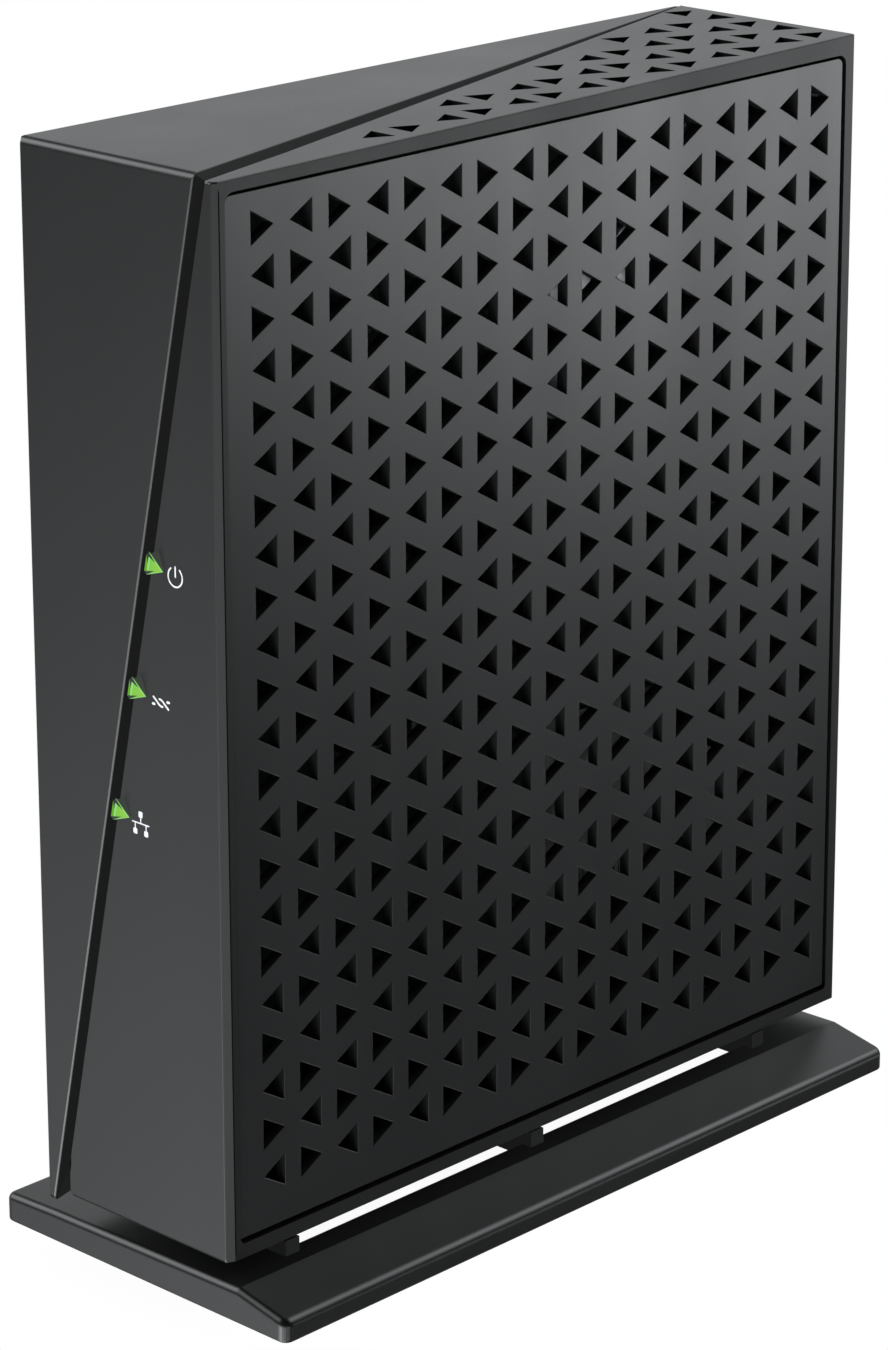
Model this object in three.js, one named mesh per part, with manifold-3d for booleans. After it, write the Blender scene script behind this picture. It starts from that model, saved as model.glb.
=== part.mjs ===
// Cable modem: a slim upright housing with a raised front corner cover, a triangle grille
// and a clip-on stand.
// Millimetres, +Z up, front towards -Y, grille side towards +X.
// The origin is on the table, under the middle of the overall box, coax barrel included.
// Pieces are drawn from the middle of the housing's underside, then moved by HOUSING_LIFT
// and OVERALL_MIDDLE_Y.
import * as THREE from 'three';
import { mergeVertices } from 'three/addons/utils/BufferGeometryUtils.js';
import Module from 'manifold-3d';

const wasm = await Module();
wasm.setup();

// Housing
const BODY_WIDTH = 28.5;
const BODY_DEPTH = 111;
const BODY_HEIGHT = 128;
const SIDE = BODY_WIDTH / 2;
const FRONT = -BODY_DEPTH / 2;
const BACK = BODY_DEPTH / 2;
const FRONT_RECESS_TOP = 2.38;
const FRONT_RECESS_BOTTOM = 2.1;
const TOP_RECESS_FRONT = 1.38;
const LEFT_RECESS_FRONT = 1.4;
const LEFT_WALL_INNER = -11.2;
const CORNER_FACET_Y = -52.36;
const CORNER_FACET_SLOPE = Math.tan(25.5 * Math.PI / 180);
const SHADOW_LINE_WIDTH = 0.2;
const SHADOW_LINE_DEPTH = 0.15;

// Side opening and its grille; the top edge rises a little towards the back
const OPENING = { front: -51.4, back: 53.97, bottom: 1.85, topFront: 125.18, topBack: 125.62 };
const OPENING_CORNER_BOTTOM = 0.7;
const OPENING_CORNER_TOP = 1.3;
const GRILLE_GAP_FRONT = 0.2;
const GRILLE_GAP_BACK = 0.32;
const GRILLE_GAP_BOTTOM = 0.53;
const GRILLE_GAP_TOP = 0.42;
const GRILLE_CORNER_BOTTOM = 0.35;
const GRILLE_CORNER_TOP = 0.9;
const GRILLE_RECESS = 0.3;
const GRILLE_THICKNESS = 1.6;
const COLUMN_PITCH = 5.935;
const ROW_PITCH = 5.325;
const HOLE_SIDE = 3.9;
const SIDE_COLUMNS = 17;
const SIDE_ROWS = 22;
const SIDE_FIRST_COLUMN_Y = -45.6;
const SIDE_TOP_ROW_Z = 120.65;
const TOP_ROWS = 14;
const TOP_COLUMNS = 5;
const TOP_FIRST_ROW_Y = 52;
const TOP_FIRST_COLUMN_X = -10.65;
const TOP_EDGE_MARGIN = 2.5;
const TOP_EDGE_MARGIN_GROWTH = 0.015;

// Front corner cover: the corner of the box cut off by one slanted plane
const COVER_THICKNESS = 1.3;
const COVER_GAP = 0.3;
const COVER_LIP_WIDTH = 1.2;
const SEAM_GAP = 0.25;
const EDGE_CHAMFER = 0.4;
const SEAM_FRONT_TOP = new THREE.Vector3(14, FRONT, BODY_HEIGHT);
const SEAM_FRONT_BOTTOM = new THREE.Vector3(-13.2, FRONT, 0);
const SEAM_BACK_TOP = new THREE.Vector3(-SIDE, BACK, BODY_HEIGHT);

// Status lights, set against the front seam
const LENS_SIDE = 2.65;
const LENS_FROM_SEAM = 0.08;
const LENS_FRONT_Y = -54.5;
const LENS_BACK_Y = -50.5;
const LENS_LIP_Y = -54.9;
const LENS_LIP = { near: -0.03, far: 0.2 };
const LENS_HEIGHTS = { power: 82.25, link: 66.92, network: 51.66 };
const LENS_CLEARANCE = 0.2;
const LED_FROM_SEAM = 0.9;

// Stand
const STAND_WIDTH = 48.4;
const STAND_LENGTH = 108.1;
const STAND_TOP = -2.33;
const STAND_BOTTOM = -6.48;
const STAND_EDGE_TOP = -3.72;
const STAND_CREST = [[16.2, -2.08], [-15.5, -2.62]];
const STAND_LEFT_TOP = -2.95;
const STAND_HOLLOW_HALF = 15.3;
const STAND_WALL = 1.45;
const STAND_CORNER = 1.2;
const WINDOW_HALF_WIDTH = 12.6;
const RIBS = [[-44.3, -42.1], [-2.5, -0.3], [39.3, 41.5]];
const TAB_HALF_WIDTH = 8;
const TAB_HEIGHT = 4.2;
const FOOT_RADIUS = 4;
const FOOT_BOTTOM = -6.9;
const FOOT_TOP = -5.95;
const FOOT_X = 17.5;
const FOOT_Y = 46.5;
const HOUSING_LIFT = -FOOT_BOTTOM;

// Main board and the line the rear connectors sit on
const BOARD = { left: -7.8, right: -6.2, front: -49.5, back: 52.8, bottom: 5, top: 122.6 };
const ON_BOARD = BOARD.right + 0.1;
const CONNECTOR_X = ON_BOARD + 6.7;
const SCREW_SPOTS = [[-44, 12], [44, 12], [-44, 115.5], [44, 115.5]];
const STATUS_BOARD = { front: -48.8, back: -47.6, left: ON_BOARD + 0.1, right: 9.6, bottom: 44, top: 92 };
const MODEM_CHIP = { y0: -19, y1: 0, z0: 60, z1: 79, top: ON_BOARD + 1.6 };
const REAR_PANEL = { halfWidth: 10.75, bottom: 8.25, top: 119.75, inner: 53.7, outer: 55.3 };
const POWER_BUTTON_Z = 104;
const DC_JACK_Z = 88;
const RESET_Z = 73;
const ETHERNET_Z = 56;
const COAX_Z = 30;
const COAX_END = 66;
const COAX_RADIUS = 4.75;
const DC_FACE_RADIUS = 4.2;
const POWER_BUTTON_RADIUS = 4;
const ETHERNET = {
  left: ON_BOARD, right: ON_BOARD + 13.4, front: 38, back: 55.6,
  bottom: ETHERNET_Z - 8, top: ETHERNET_Z + 8,
};
const PLUG = {
  left: ON_BOARD + 2.9, right: ON_BOARD + 11.2, latchRight: ON_BOARD + 12.7,
  halfWidth: 5.95, latchHalfWidth: 3.2,
};
const OVERALL_MIDDLE_Y = (FRONT + COAX_END) / 2;
const ROUND = 24;

// Basic solids ------------------------------------------------------------

function solid(geometry) {
  const bare = geometry.clone();
  bare.deleteAttribute('normal');
  bare.deleteAttribute('uv');
  const merged = mergeVertices(bare, 1e-4);
  return new wasm.Manifold(new wasm.Mesh({
    numProp: 3,
    vertProperties: new Float32Array(merged.attributes.position.array),
    triVerts: new Uint32Array(merged.index.array),
  }));
}

function block(x0, x1, y0, y1, z0, z1) {
  const geometry = new THREE.BoxGeometry(x1 - x0, y1 - y0, z1 - z0);
  geometry.translate((x0 + x1) / 2, (y0 + y1) / 2, (z0 + z1) / 2);
  return solid(geometry);
}

function shapeOf(points) {
  return new THREE.Shape(points.map(([u, v]) => new THREE.Vector2(u, v)));
}

function extrude(shape, length, basis, curveSegments = 4) {
  const options = { depth: length, bevelEnabled: false, curveSegments };
  const geometry = new THREE.ExtrudeGeometry(shape, options);
  geometry.applyMatrix4(basis);
  return solid(geometry);
}

// A shape drawn in (Y, Z), pushed along X.
function prismX(shape, x0, x1) {
  const basis = new THREE.Matrix4().set(0, 0, 1, x0, 1, 0, 0, 0, 0, 1, 0, 0, 0, 0, 0, 1);
  return extrude(shape, x1 - x0, basis);
}

// A shape drawn in (X, Z), pushed along Y.
function prismY(shape, y0, y1) {
  const basis = new THREE.Matrix4().set(1, 0, 0, 0, 0, 0, -1, y1, 0, 1, 0, 0, 0, 0, 0, 1);
  return extrude(shape, y1 - y0, basis);
}

// A shape drawn in (X, Y), pushed along Z.
function prismZ(shape, z0, z1) {
  const basis = new THREE.Matrix4().makeTranslation(0, 0, z0);
  return extrude(shape, z1 - z0, basis);
}

function roundedRectangle(u0, u1, v0, v1, radius) {
  const shape = new THREE.Shape();
  shape.moveTo(u0 + radius, v0);
  shape.lineTo(u1 - radius, v0);
  shape.absarc(u1 - radius, v0 + radius, radius, -Math.PI / 2, 0, false);
  shape.lineTo(u1, v1 - radius);
  shape.absarc(u1 - radius, v1 - radius, radius, 0, Math.PI / 2, false);
  shape.lineTo(u0 + radius, v1);
  shape.absarc(u0 + radius, v1 - radius, radius, Math.PI / 2, Math.PI, false);
  shape.lineTo(u0, v0 + radius);
  shape.absarc(u0 + radius, v0 + radius, radius, Math.PI, 1.5 * Math.PI, false);
  return shape;
}

// A polygon with arcs for corners, each given as [u, v, radius] in anticlockwise order.
function roundedPolygon(corners) {
  const shape = new THREE.Shape();
  corners.forEach(([u, v, radius], i) => {
    const corner = new THREE.Vector2(u, v);
    const before = new THREE.Vector2(...corners.at(i - 1)).sub(corner).normalize();
    const after = new THREE.Vector2(...corners[(i + 1) % corners.length]).sub(corner).normalize();
    const halfAngle = Math.acos(before.dot(after)) / 2;
    const inward = before.clone().add(after).normalize();
    const centre = corner.clone().addScaledVector(inward, radius / Math.sin(halfAngle));
    const start = corner.clone().addScaledVector(before, radius / Math.tan(halfAngle)).sub(centre);
    const end = corner.clone().addScaledVector(after, radius / Math.tan(halfAngle)).sub(centre);
    shape.absarc(centre.x, centre.y, radius, start.angle(), end.angle(), false);
  });
  return shape;
}

function chamferedRectangle(u0, u1, v0, v1, cut) {
  return shapeOf([
    [u0 + cut, v0], [u1 - cut, v0], [u1, v0 + cut], [u1, v1 - cut],
    [u1 - cut, v1], [u0 + cut, v1], [u0, v1 - cut], [u0, v0 + cut],
  ]);
}

function cylinder(radius, length, segments = ROUND) {
  return new THREE.CylinderGeometry(radius, radius, length, segments);
}

function rodX(radius, x0, x1, y, z, segments = ROUND) {
  const geometry = cylinder(radius, x1 - x0, segments);
  geometry.rotateZ(Math.PI / 2);
  geometry.translate((x0 + x1) / 2, y, z);
  return solid(geometry);
}

function rodY(radius, y0, y1, x, z, segments = ROUND) {
  const geometry = cylinder(radius, y1 - y0, segments);
  geometry.translate(x, (y0 + y1) / 2, z);
  return solid(geometry);
}

function rodZ(radius, z0, z1, x, y, segments = ROUND) {
  const geometry = cylinder(radius, z1 - z0, segments);
  geometry.rotateX(Math.PI / 2);
  geometry.translate(x, y, (z0 + z1) / 2);
  return solid(geometry);
}

function joinAll(solids) {
  return solids.reduce((sum, next) => sum.add(next));
}

// The slanted seam --------------------------------------------------------

const seamNormal = new THREE.Vector3()
  .subVectors(SEAM_FRONT_BOTTOM, SEAM_FRONT_TOP)
  .cross(new THREE.Vector3().subVectors(SEAM_BACK_TOP, SEAM_FRONT_TOP))
  .normalize();

// Everything on the cover's side of the seam plane, moved by shift along the plane's normal.
function coverSide(shift) {
  const size = 400;
  const along = new THREE.Vector3().subVectors(SEAM_FRONT_TOP, SEAM_FRONT_BOTTOM).normalize();
  const across = new THREE.Vector3().crossVectors(seamNormal, along);
  const basis = new THREE.Matrix4().makeBasis(along, across, seamNormal);
  basis.setPosition(SEAM_FRONT_TOP.clone().addScaledVector(seamNormal, shift - size / 2));
  const geometry = new THREE.BoxGeometry(size, size, size);
  geometry.applyMatrix4(basis);
  return solid(geometry);
}

// The space kept for the housing behind the cover.
function behindCover(depth) {
  const far = 100;
  return block(-SIDE + depth, far, FRONT + depth, far, -far, BODY_HEIGHT - depth);
}

// Everything behind the recessed front face, brought forward by a clearance.
function behindRecess(clearance) {
  const far = 100;
  const slope = (FRONT_RECESS_TOP - FRONT_RECESS_BOTTOM) / (BODY_HEIGHT - TOP_RECESS_FRONT);
  const face = FRONT + FRONT_RECESS_BOTTOM - clearance;
  const side = shapeOf([
    [face - slope * far, -far], [far, -far], [far, 2 * far], [face + slope * 2 * far, 2 * far],
  ]);
  return prismX(side, -far, far);
}

function seamX(z) {
  const t = z / BODY_HEIGHT;
  return SEAM_FRONT_BOTTOM.x + t * (SEAM_FRONT_TOP.x - SEAM_FRONT_BOTTOM.x);
}

function topSeamX(y) {
  const t = (BACK - y) / BODY_DEPTH;
  return SEAM_BACK_TOP.x + t * (SEAM_FRONT_TOP.x - SEAM_BACK_TOP.x);
}

// Triangular holes ---------------------------------------------------------

// Corners of one triangle centred on (u, v), pointing along +u or -u.
function trianglePoints(u, v, direction) {
  const half = HOLE_SIDE * Math.sqrt(3) / 4;
  return [
    [u + direction * half, v],
    [u - direction * half, v + direction * HOLE_SIDE / 2],
    [u - direction * half, v - direction * HOLE_SIDE / 2],
  ];
}

function checker(row, column) {
  return (row + column) % 2 === 0 ? 1 : -1;
}

function openingOutline() {
  const { front, back, bottom, topFront, topBack } = OPENING;
  return roundedPolygon([
    [front, bottom, OPENING_CORNER_BOTTOM], [back, bottom, OPENING_CORNER_BOTTOM],
    [back, topBack, OPENING_CORNER_TOP], [front, topFront, OPENING_CORNER_TOP],
  ]);
}

function grilleOutline() {
  const front = OPENING.front + GRILLE_GAP_FRONT;
  const back = OPENING.back - GRILLE_GAP_BACK;
  const bottom = OPENING.bottom + GRILLE_GAP_BOTTOM;
  return roundedPolygon([
    [front, bottom, GRILLE_CORNER_BOTTOM],
    [back, bottom, GRILLE_CORNER_BOTTOM],
    [back, OPENING.topBack - GRILLE_GAP_TOP, GRILLE_CORNER_TOP],
    [front, OPENING.topFront - GRILLE_GAP_TOP, GRILLE_CORNER_TOP],
  ]);
}

function sideGrille() {
  const face = grilleOutline();
  for (let row = 0; row < SIDE_ROWS; row += 1) {
    for (let column = 0; column < SIDE_COLUMNS; column += 1) {
      const y = SIDE_FIRST_COLUMN_Y + column * COLUMN_PITCH;
      const z = SIDE_TOP_ROW_Z - row * ROW_PITCH;
      face.holes.push(shapeOf(trianglePoints(y, z, checker(row, column))));
    }
  }
  const outer = SIDE - GRILLE_RECESS;
  return prismX(face, outer - GRILLE_THICKNESS, outer);
}

function topHoles() {
  const cutters = [];
  for (let row = 0; row < TOP_ROWS; row += 1) {
    const y = TOP_FIRST_ROW_Y - row * COLUMN_PITCH;
    const margin = TOP_EDGE_MARGIN + TOP_EDGE_MARGIN_GROWTH * (TOP_FIRST_ROW_Y - y);
    for (let column = 0; column < TOP_COLUMNS; column += 1) {
      const x = TOP_FIRST_COLUMN_X + column * ROW_PITCH;
      if (x - topSeamX(y) < margin) continue;
      const turned = trianglePoints(y, x, checker(row, column)).map(([v, u]) => [u, v]);
      cutters.push(prismZ(shapeOf(turned), OPENING.topFront - 3, BODY_HEIGHT + 1));
    }
  }
  return joinAll(cutters);
}

// Housing pieces ------------------------------------------------------------

function frontCornerCover() {
  const alongX = prismX(chamferedRectangle(FRONT, BACK, 0, BODY_HEIGHT, EDGE_CHAMFER), -SIDE, SIDE);
  const alongY = prismY(chamferedRectangle(-SIDE, SIDE, 0, BODY_HEIGHT, EDGE_CHAMFER), FRONT, BACK);
  const alongZ = prismZ(chamferedRectangle(-SIDE, SIDE, FRONT, BACK, EDGE_CHAMFER), 0, BODY_HEIGHT);
  const box = alongX.intersect(alongY).intersect(alongZ);
  const corner = box.intersect(coverSide(0));
  const lip = corner.subtract(coverSide(-COVER_LIP_WIDTH)).subtract(behindRecess(COVER_GAP));
  return corner.subtract(behindCover(COVER_THICKNESS)).add(lip);
}

function housingBlank() {
  const profile = shapeOf([
    [FRONT + FRONT_RECESS_BOTTOM, 0],
    [BACK, 0],
    [BACK, BODY_HEIGHT],
    [FRONT + FRONT_RECESS_TOP, BODY_HEIGHT - TOP_RECESS_FRONT],
  ]);
  const facetWidth = (CORNER_FACET_Y - FRONT) * CORNER_FACET_SLOPE;
  const plan = shapeOf([
    [-SIDE, BACK],
    [-SIDE + LEFT_RECESS_FRONT, FRONT],
    [SIDE - facetWidth, FRONT],
    [SIDE, CORNER_FACET_Y],
    [SIDE, BACK],
  ]);
  return prismX(profile, -SIDE, SIDE).intersect(prismZ(plan, -1, BODY_HEIGHT + 1));
}

function boardBosses() {
  const bosses = SCREW_SPOTS.map(([y, z]) => {
    const boss = rodX(2.8, LEFT_WALL_INNER - 0.5, BOARD.left - 0.2, y, z, 16);
    const pilot = rodX(1.15, LEFT_WALL_INNER + 0.6, BOARD.left + 1, y, z, 12);
    return boss.subtract(pilot);
  });
  return joinAll(bosses);
}

function grilleLedges() {
  const seat = SIDE - GRILLE_RECESS - GRILLE_THICKNESS - 0.2;
  const root = seat - 1;
  const reach = 1.3;
  return joinAll([
    block(root, seat, -34, 34, OPENING.bottom - 0.3, OPENING.bottom + reach),
    block(root, seat, -34, 34, OPENING.topFront - reach, OPENING.topBack + 0.1),
    block(root, seat, OPENING.front - 0.3, OPENING.front + reach, 96, 114),
    block(root, seat, OPENING.front - 0.3, OPENING.front + reach, 14, 34),
    block(root, seat, OPENING.back - reach, OPENING.back + 0.3, 96, 114),
    block(root, seat, OPENING.back - reach, OPENING.back + 0.3, 14, 34),
  ]);
}

function lensShape(height, clearance) {
  const start = seamX(height);
  const slope = new THREE.Vector2(seamX(1) - seamX(0), 1).normalize();
  const out = new THREE.Vector2(slope.y, -slope.x);
  const inradius = LENS_SIDE * Math.sqrt(3) / 6;
  const grow = (inradius + clearance) / inradius;
  const centre = new THREE.Vector2(start, height).addScaledVector(out, LENS_FROM_SEAM + inradius);
  const corner = (along, across) => [
    centre.x + grow * (along * slope.x + across * out.x),
    centre.y + grow * (along * slope.y + across * out.y),
  ];
  return shapeOf([
    corner(-LENS_SIDE / 2, -inradius),
    corner(0, 2 * inradius),
    corner(LENS_SIDE / 2, -inradius),
  ]);
}

function mainHousing() {
  const pocket = coverSide(SEAM_GAP).subtract(behindCover(COVER_THICKNESS + COVER_GAP));
  const cavity = prismX(openingOutline(), LEFT_WALL_INNER, SIDE + 1);
  const { halfWidth } = REAR_PANEL;
  const rearOpening = block(
    -halfWidth - 0.25, halfWidth + 0.25, OPENING.back - 1, BACK + 1,
    REAR_PANEL.bottom - 0.25, REAR_PANEL.top + 0.25,
  );
  const shadowLine = block(
    SIDE - SHADOW_LINE_DEPTH, SIDE + 1,
    CORNER_FACET_Y, CORNER_FACET_Y + SHADOW_LINE_WIDTH,
    1, BODY_HEIGHT - 2.4,
  );
  const tabSlots = [RIBS[0], RIBS[2]].map(([y0, y1]) => {
    const reach = TAB_HALF_WIDTH + 0.4;
    return block(-reach, reach, y0 - 0.1, y1 + 0.1, -1, OPENING.bottom + 1);
  });
  const lensHoles = Object.values(LENS_HEIGHTS).map((height) => {
    return prismY(lensShape(height, LENS_CLEARANCE), FRONT - 1, OPENING.front + 1);
  });
  return housingBlank()
    .subtract(pocket)
    .subtract(cavity)
    .subtract(rearOpening)
    .subtract(shadowLine)
    .subtract(joinAll(tabSlots))
    .subtract(joinAll(lensHoles))
    .subtract(topHoles())
    .add(boardBosses())
    .add(grilleLedges());
}

function rearPanel() {
  const { halfWidth, bottom, top, inner, outer } = REAR_PANEL;
  const plate = block(-halfWidth, halfWidth, inner, outer, bottom, top);
  const flange = block(-halfWidth, halfWidth, inner - 0.3, inner + 0.1, bottom, top);
  const jack = block(
    ETHERNET.left - 0.3, ETHERNET.right + 0.3, inner - 1, outer + 1,
    ETHERNET.bottom - 0.3, ETHERNET.top + 0.3,
  );
  const holes = [
    rodY(DC_FACE_RADIUS + 0.3, inner - 1, outer + 1, CONNECTOR_X, DC_JACK_Z),
    rodY(POWER_BUTTON_RADIUS + 0.3, inner - 1, outer + 1, CONNECTOR_X, POWER_BUTTON_Z),
    rodY(0.9, inner - 1, outer + 1, CONNECTOR_X, RESET_Z, 12),
    rodY(COAX_RADIUS + 0.3, inner - 1, outer + 1, CONNECTOR_X, COAX_Z),
  ];
  return plate.add(flange).subtract(jack).subtract(joinAll(holes));
}

// Status lights ---------------------------------------------------------------

function lens(height) {
  const body = prismY(lensShape(height, 0), LENS_FRONT_Y, LENS_BACK_Y);
  const slope = new THREE.Vector2(seamX(1) - seamX(0), 1).normalize();
  const out = new THREE.Vector2(slope.y, -slope.x);
  const spot = (along, across) => [
    seamX(height) + along * slope.x + across * out.x,
    height + along * slope.y + across * out.y,
  ];
  const half = LENS_SIDE / 2;
  const lip = shapeOf([
    spot(-half, LENS_LIP.near),
    spot(-half, LENS_LIP.far),
    spot(half, LENS_LIP.far),
    spot(half, LENS_LIP.near),
  ]);
  return body.add(prismY(lip, LENS_LIP_Y, LENS_FRONT_Y + 0.5));
}

function statusBoard() {
  const { front, back, left, right, bottom, top } = STATUS_BOARD;
  return block(left, right, front, back, bottom, top);
}

function statusLed(height) {
  const x = seamX(height) + LED_FROM_SEAM;
  const { front } = STATUS_BOARD;
  return block(x - 0.8, x + 0.8, front - 1, front - 0.1, height - 1.6, height + 1.2);
}

// A flat cable that bends from the back of the status board round to the face of the main board.
function statusRibbon() {
  const lowFace = [[3.5, -47.5], [3.5, -45], [2.2, -43], [0.15, -42], [0.15, -39]];
  const highFace = [[0.4, -39], [0.4, -41.85], [2.38, -42.82], [3.75, -44.9], [3.75, -47.5]];
  const strip = [...lowFace, ...highFace].map(([lift, y]) => [ON_BOARD + lift, y]);
  return prismZ(shapeOf(strip), 54, 61);
}

// Main board and what is soldered to it -------------------------------------------

function mainBoard() {
  const { left, right, front, back, bottom, top } = BOARD;
  const outline = roundedRectangle(front, back, bottom, top, 2);
  const holes = SCREW_SPOTS.map(([y, z]) => rodX(1.3, left - 1, right + 1, y, z, 16));
  return prismX(outline, left, right).subtract(joinAll(holes));
}

function boardScrew([y, z]) {
  const seat = BOARD.right + 0.15;
  const shank = rodX(0.95, LEFT_WALL_INNER + 0.9, seat + 0.5, y, z, 12);
  const head = rodX(2.4, seat, seat + 1.7, y, z, 16);
  const driveA = block(seat + 0.9, seat + 3, y - 1.3, y + 1.3, z - 0.28, z + 0.28);
  const driveB = block(seat + 0.9, seat + 3, y - 0.28, y + 0.28, z - 1.3, z + 1.3);
  return shank.add(head).subtract(driveA).subtract(driveB);
}

function modemChip() {
  return block(ON_BOARD, MODEM_CHIP.top, MODEM_CHIP.y0, MODEM_CHIP.y1, MODEM_CHIP.z0, MODEM_CHIP.z1);
}

function thermalPad() {
  const { y0, y1, z0, z1, top } = MODEM_CHIP;
  return block(top + 0.1, top + 0.9, y0 + 1, y1 - 1, z0 + 1, z1 - 1);
}

function heatsink() {
  const base = MODEM_CHIP.top + 1;
  const plate = block(base, base + 2, -26, 7, 53, 86);
  const fins = [];
  for (let i = 0; i < 8; i += 1) {
    const y = -26 + i * (33 - 1.3) / 7;
    fins.push(block(base + 1.9, base + 10.5, y, y + 1.3, 53, 86));
  }
  return plate.add(joinAll(fins));
}

function chip(y0, y1, z0, z1, height) {
  return block(ON_BOARD, ON_BOARD + height, y0, y1, z0, z1);
}

function tunerShield() {
  const can = prismX(roundedRectangle(14, 38, 18, 44, 1.2), ON_BOARD, ON_BOARD + 4.2);
  const holes = [];
  for (let i = 0; i < 3; i += 1) {
    for (let k = 0; k < 3; k += 1) {
      holes.push(rodX(1.1, ON_BOARD + 3.8, ON_BOARD + 5, 20 + i * 6, 25 + k * 6, 10));
    }
  }
  return can.subtract(joinAll(holes));
}

function crystalCan() {
  return prismX(roundedRectangle(-14, -3, 48, 52.4, 2.1), ON_BOARD, ON_BOARD + 3.4);
}

function capacitor(y, z, radius, height) {
  const sleeve = rodX(radius, ON_BOARD, ON_BOARD + height, y, z, 20);
  const groove = rodX(radius + 1, ON_BOARD + 1.6, ON_BOARD + 2.2, y, z, 20)
    .subtract(rodX(radius - 0.25, ON_BOARD + 1, ON_BOARD + 3, y, z, 20));
  return sleeve.subtract(groove);
}

function powerInductor() {
  const body = prismX(chamferedRectangle(20, 30, 82, 92, 1.5), ON_BOARD, ON_BOARD + 4.5);
  const ring = rodX(4.2, ON_BOARD + 4, ON_BOARD + 5, 25, 87, 20)
    .subtract(rodX(3.4, ON_BOARD + 3.5, ON_BOARD + 6, 25, 87, 20));
  return body.subtract(ring);
}

// Rear connectors and buttons --------------------------------------------------------

function ethernetJack() {
  const { left, right, front, back, bottom, top } = ETHERNET;
  const shell = prismY(chamferedRectangle(left, right, bottom, top, 0.5), front, back);
  const mouth = block(
    PLUG.left, PLUG.right, front + 3, back + 1,
    ETHERNET_Z - PLUG.halfWidth, ETHERNET_Z + PLUG.halfWidth,
  );
  const latch = block(
    PLUG.right - 0.5, PLUG.latchRight, front + 5, back + 1,
    ETHERNET_Z - PLUG.latchHalfWidth, ETHERNET_Z + PLUG.latchHalfWidth,
  );
  return shell.subtract(mouth).subtract(latch);
}

function ethernetContacts() {
  const { left } = PLUG;
  const { front } = ETHERNET;
  const rail = block(left + 0.2, left + 0.9, front + 3.2, front + 5, ETHERNET_Z - 4.6, ETHERNET_Z + 4.6);
  const fingers = [];
  for (let i = 0; i < 8; i += 1) {
    const z = ETHERNET_Z - 3.57 + i * 1.02;
    const finger = shapeOf([
      [left + 0.2, front + 4.5],
      [left + 0.6, front + 4.5],
      [left + 2.4, front + 12],
      [left + 2, front + 12],
    ]);
    fingers.push(prismZ(finger, z - 0.2, z + 0.2));
  }
  return rail.add(joinAll(fingers));
}

function coaxBase() {
  return block(ON_BOARD, ON_BOARD + 12.2, 42, 53, COAX_Z - 6, COAX_Z + 6)
    .subtract(rodY(2.2, 50, 54, CONNECTOR_X, COAX_Z, 16));
}

function coaxBarrel() {
  const barrel = rodY(COAX_RADIUS, 53.15, COAX_END, CONNECTOR_X, COAX_Z);
  const socket = rodY(3.2, 57, COAX_END + 1, CONNECTOR_X, COAX_Z);
  return barrel.subtract(socket);
}

function coaxInsulator() {
  const plug = rodY(2.9, 57.2, COAX_END - 0.4, CONNECTOR_X, COAX_Z, 20);
  return plug.subtract(rodY(0.6, 58, 67, CONNECTOR_X, COAX_Z, 10));
}

function coaxNut() {
  return rodY(7.3, REAR_PANEL.outer + 0.2, REAR_PANEL.outer + 2.6, CONNECTOR_X, COAX_Z, 6)
    .subtract(rodY(COAX_RADIUS + 0.15, 50, 60, CONNECTOR_X, COAX_Z));
}

function dcJack() {
  const body = block(ON_BOARD, ON_BOARD + 11, 41, 53.2, DC_JACK_Z - 4.8, DC_JACK_Z + 4.8);
  const nose = rodY(DC_FACE_RADIUS, 53, 55.6, CONNECTOR_X, DC_JACK_Z);
  const hole = rodY(3.15, 45, 57, CONNECTOR_X, DC_JACK_Z);
  return body.add(nose).subtract(hole);
}

function dcPin() {
  return rodY(1, 45.2, 54.6, CONNECTOR_X, DC_JACK_Z, 16);
}

// A square bar along Y on the connector line.
function squareBarY(half, y0, y1, z) {
  return block(CONNECTOR_X - half, CONNECTOR_X + half, y0, y1, z - half, z + half);
}

function powerSwitch() {
  const body = block(ON_BOARD, ON_BOARD + 10.8, 38, 49, POWER_BUTTON_Z - 4.4, POWER_BUTTON_Z + 4.4);
  return body.subtract(squareBarY(1.6, 44, 50, POWER_BUTTON_Z));
}

function powerButton() {
  const cap = rodY(POWER_BUTTON_RADIUS, 51.4, 58, CONNECTOR_X, POWER_BUTTON_Z);
  const dish = rodY(2.6, 57.7, 59, CONNECTOR_X, POWER_BUTTON_Z);
  const stem = squareBarY(1.2, 46.4, 51.6, POWER_BUTTON_Z);
  return cap.subtract(dish).add(stem);
}

function resetSwitch() {
  const body = block(ON_BOARD, ON_BOARD + 9.6, 45, 49, RESET_Z - 3.1, RESET_Z + 3.1);
  return body.subtract(rodY(1.8, 47.6, 50, CONNECTOR_X, RESET_Z, 16));
}

function resetButton() {
  const plunger = rodY(1.5, 48.2, 52.6, CONNECTOR_X, RESET_Z, 16);
  return plunger.add(rodY(2.6, 50, 51.6, CONNECTOR_X, RESET_Z, 16));
}

// Stand ---------------------------------------------------------------------------

// The top falls steeply to the right edge and only a little to the left one.
function standOutside(half) {
  return shapeOf([
    [-half, STAND_BOTTOM], [half, STAND_BOTTOM], [half, STAND_EDGE_TOP],
    ...STAND_CREST, [-half, STAND_LEFT_TOP],
  ]);
}

function standHollow(half) {
  const top = STAND_TOP - STAND_WALL;
  const edgeTop = STAND_EDGE_TOP - 1.25;
  const bottom = STAND_BOTTOM - 1;
  return shapeOf([
    [-half, bottom], [half, bottom], [half, edgeTop],
    [STAND_HOLLOW_HALF, top], [-STAND_HOLLOW_HALF, top], [-half, edgeTop],
  ]);
}

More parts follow.
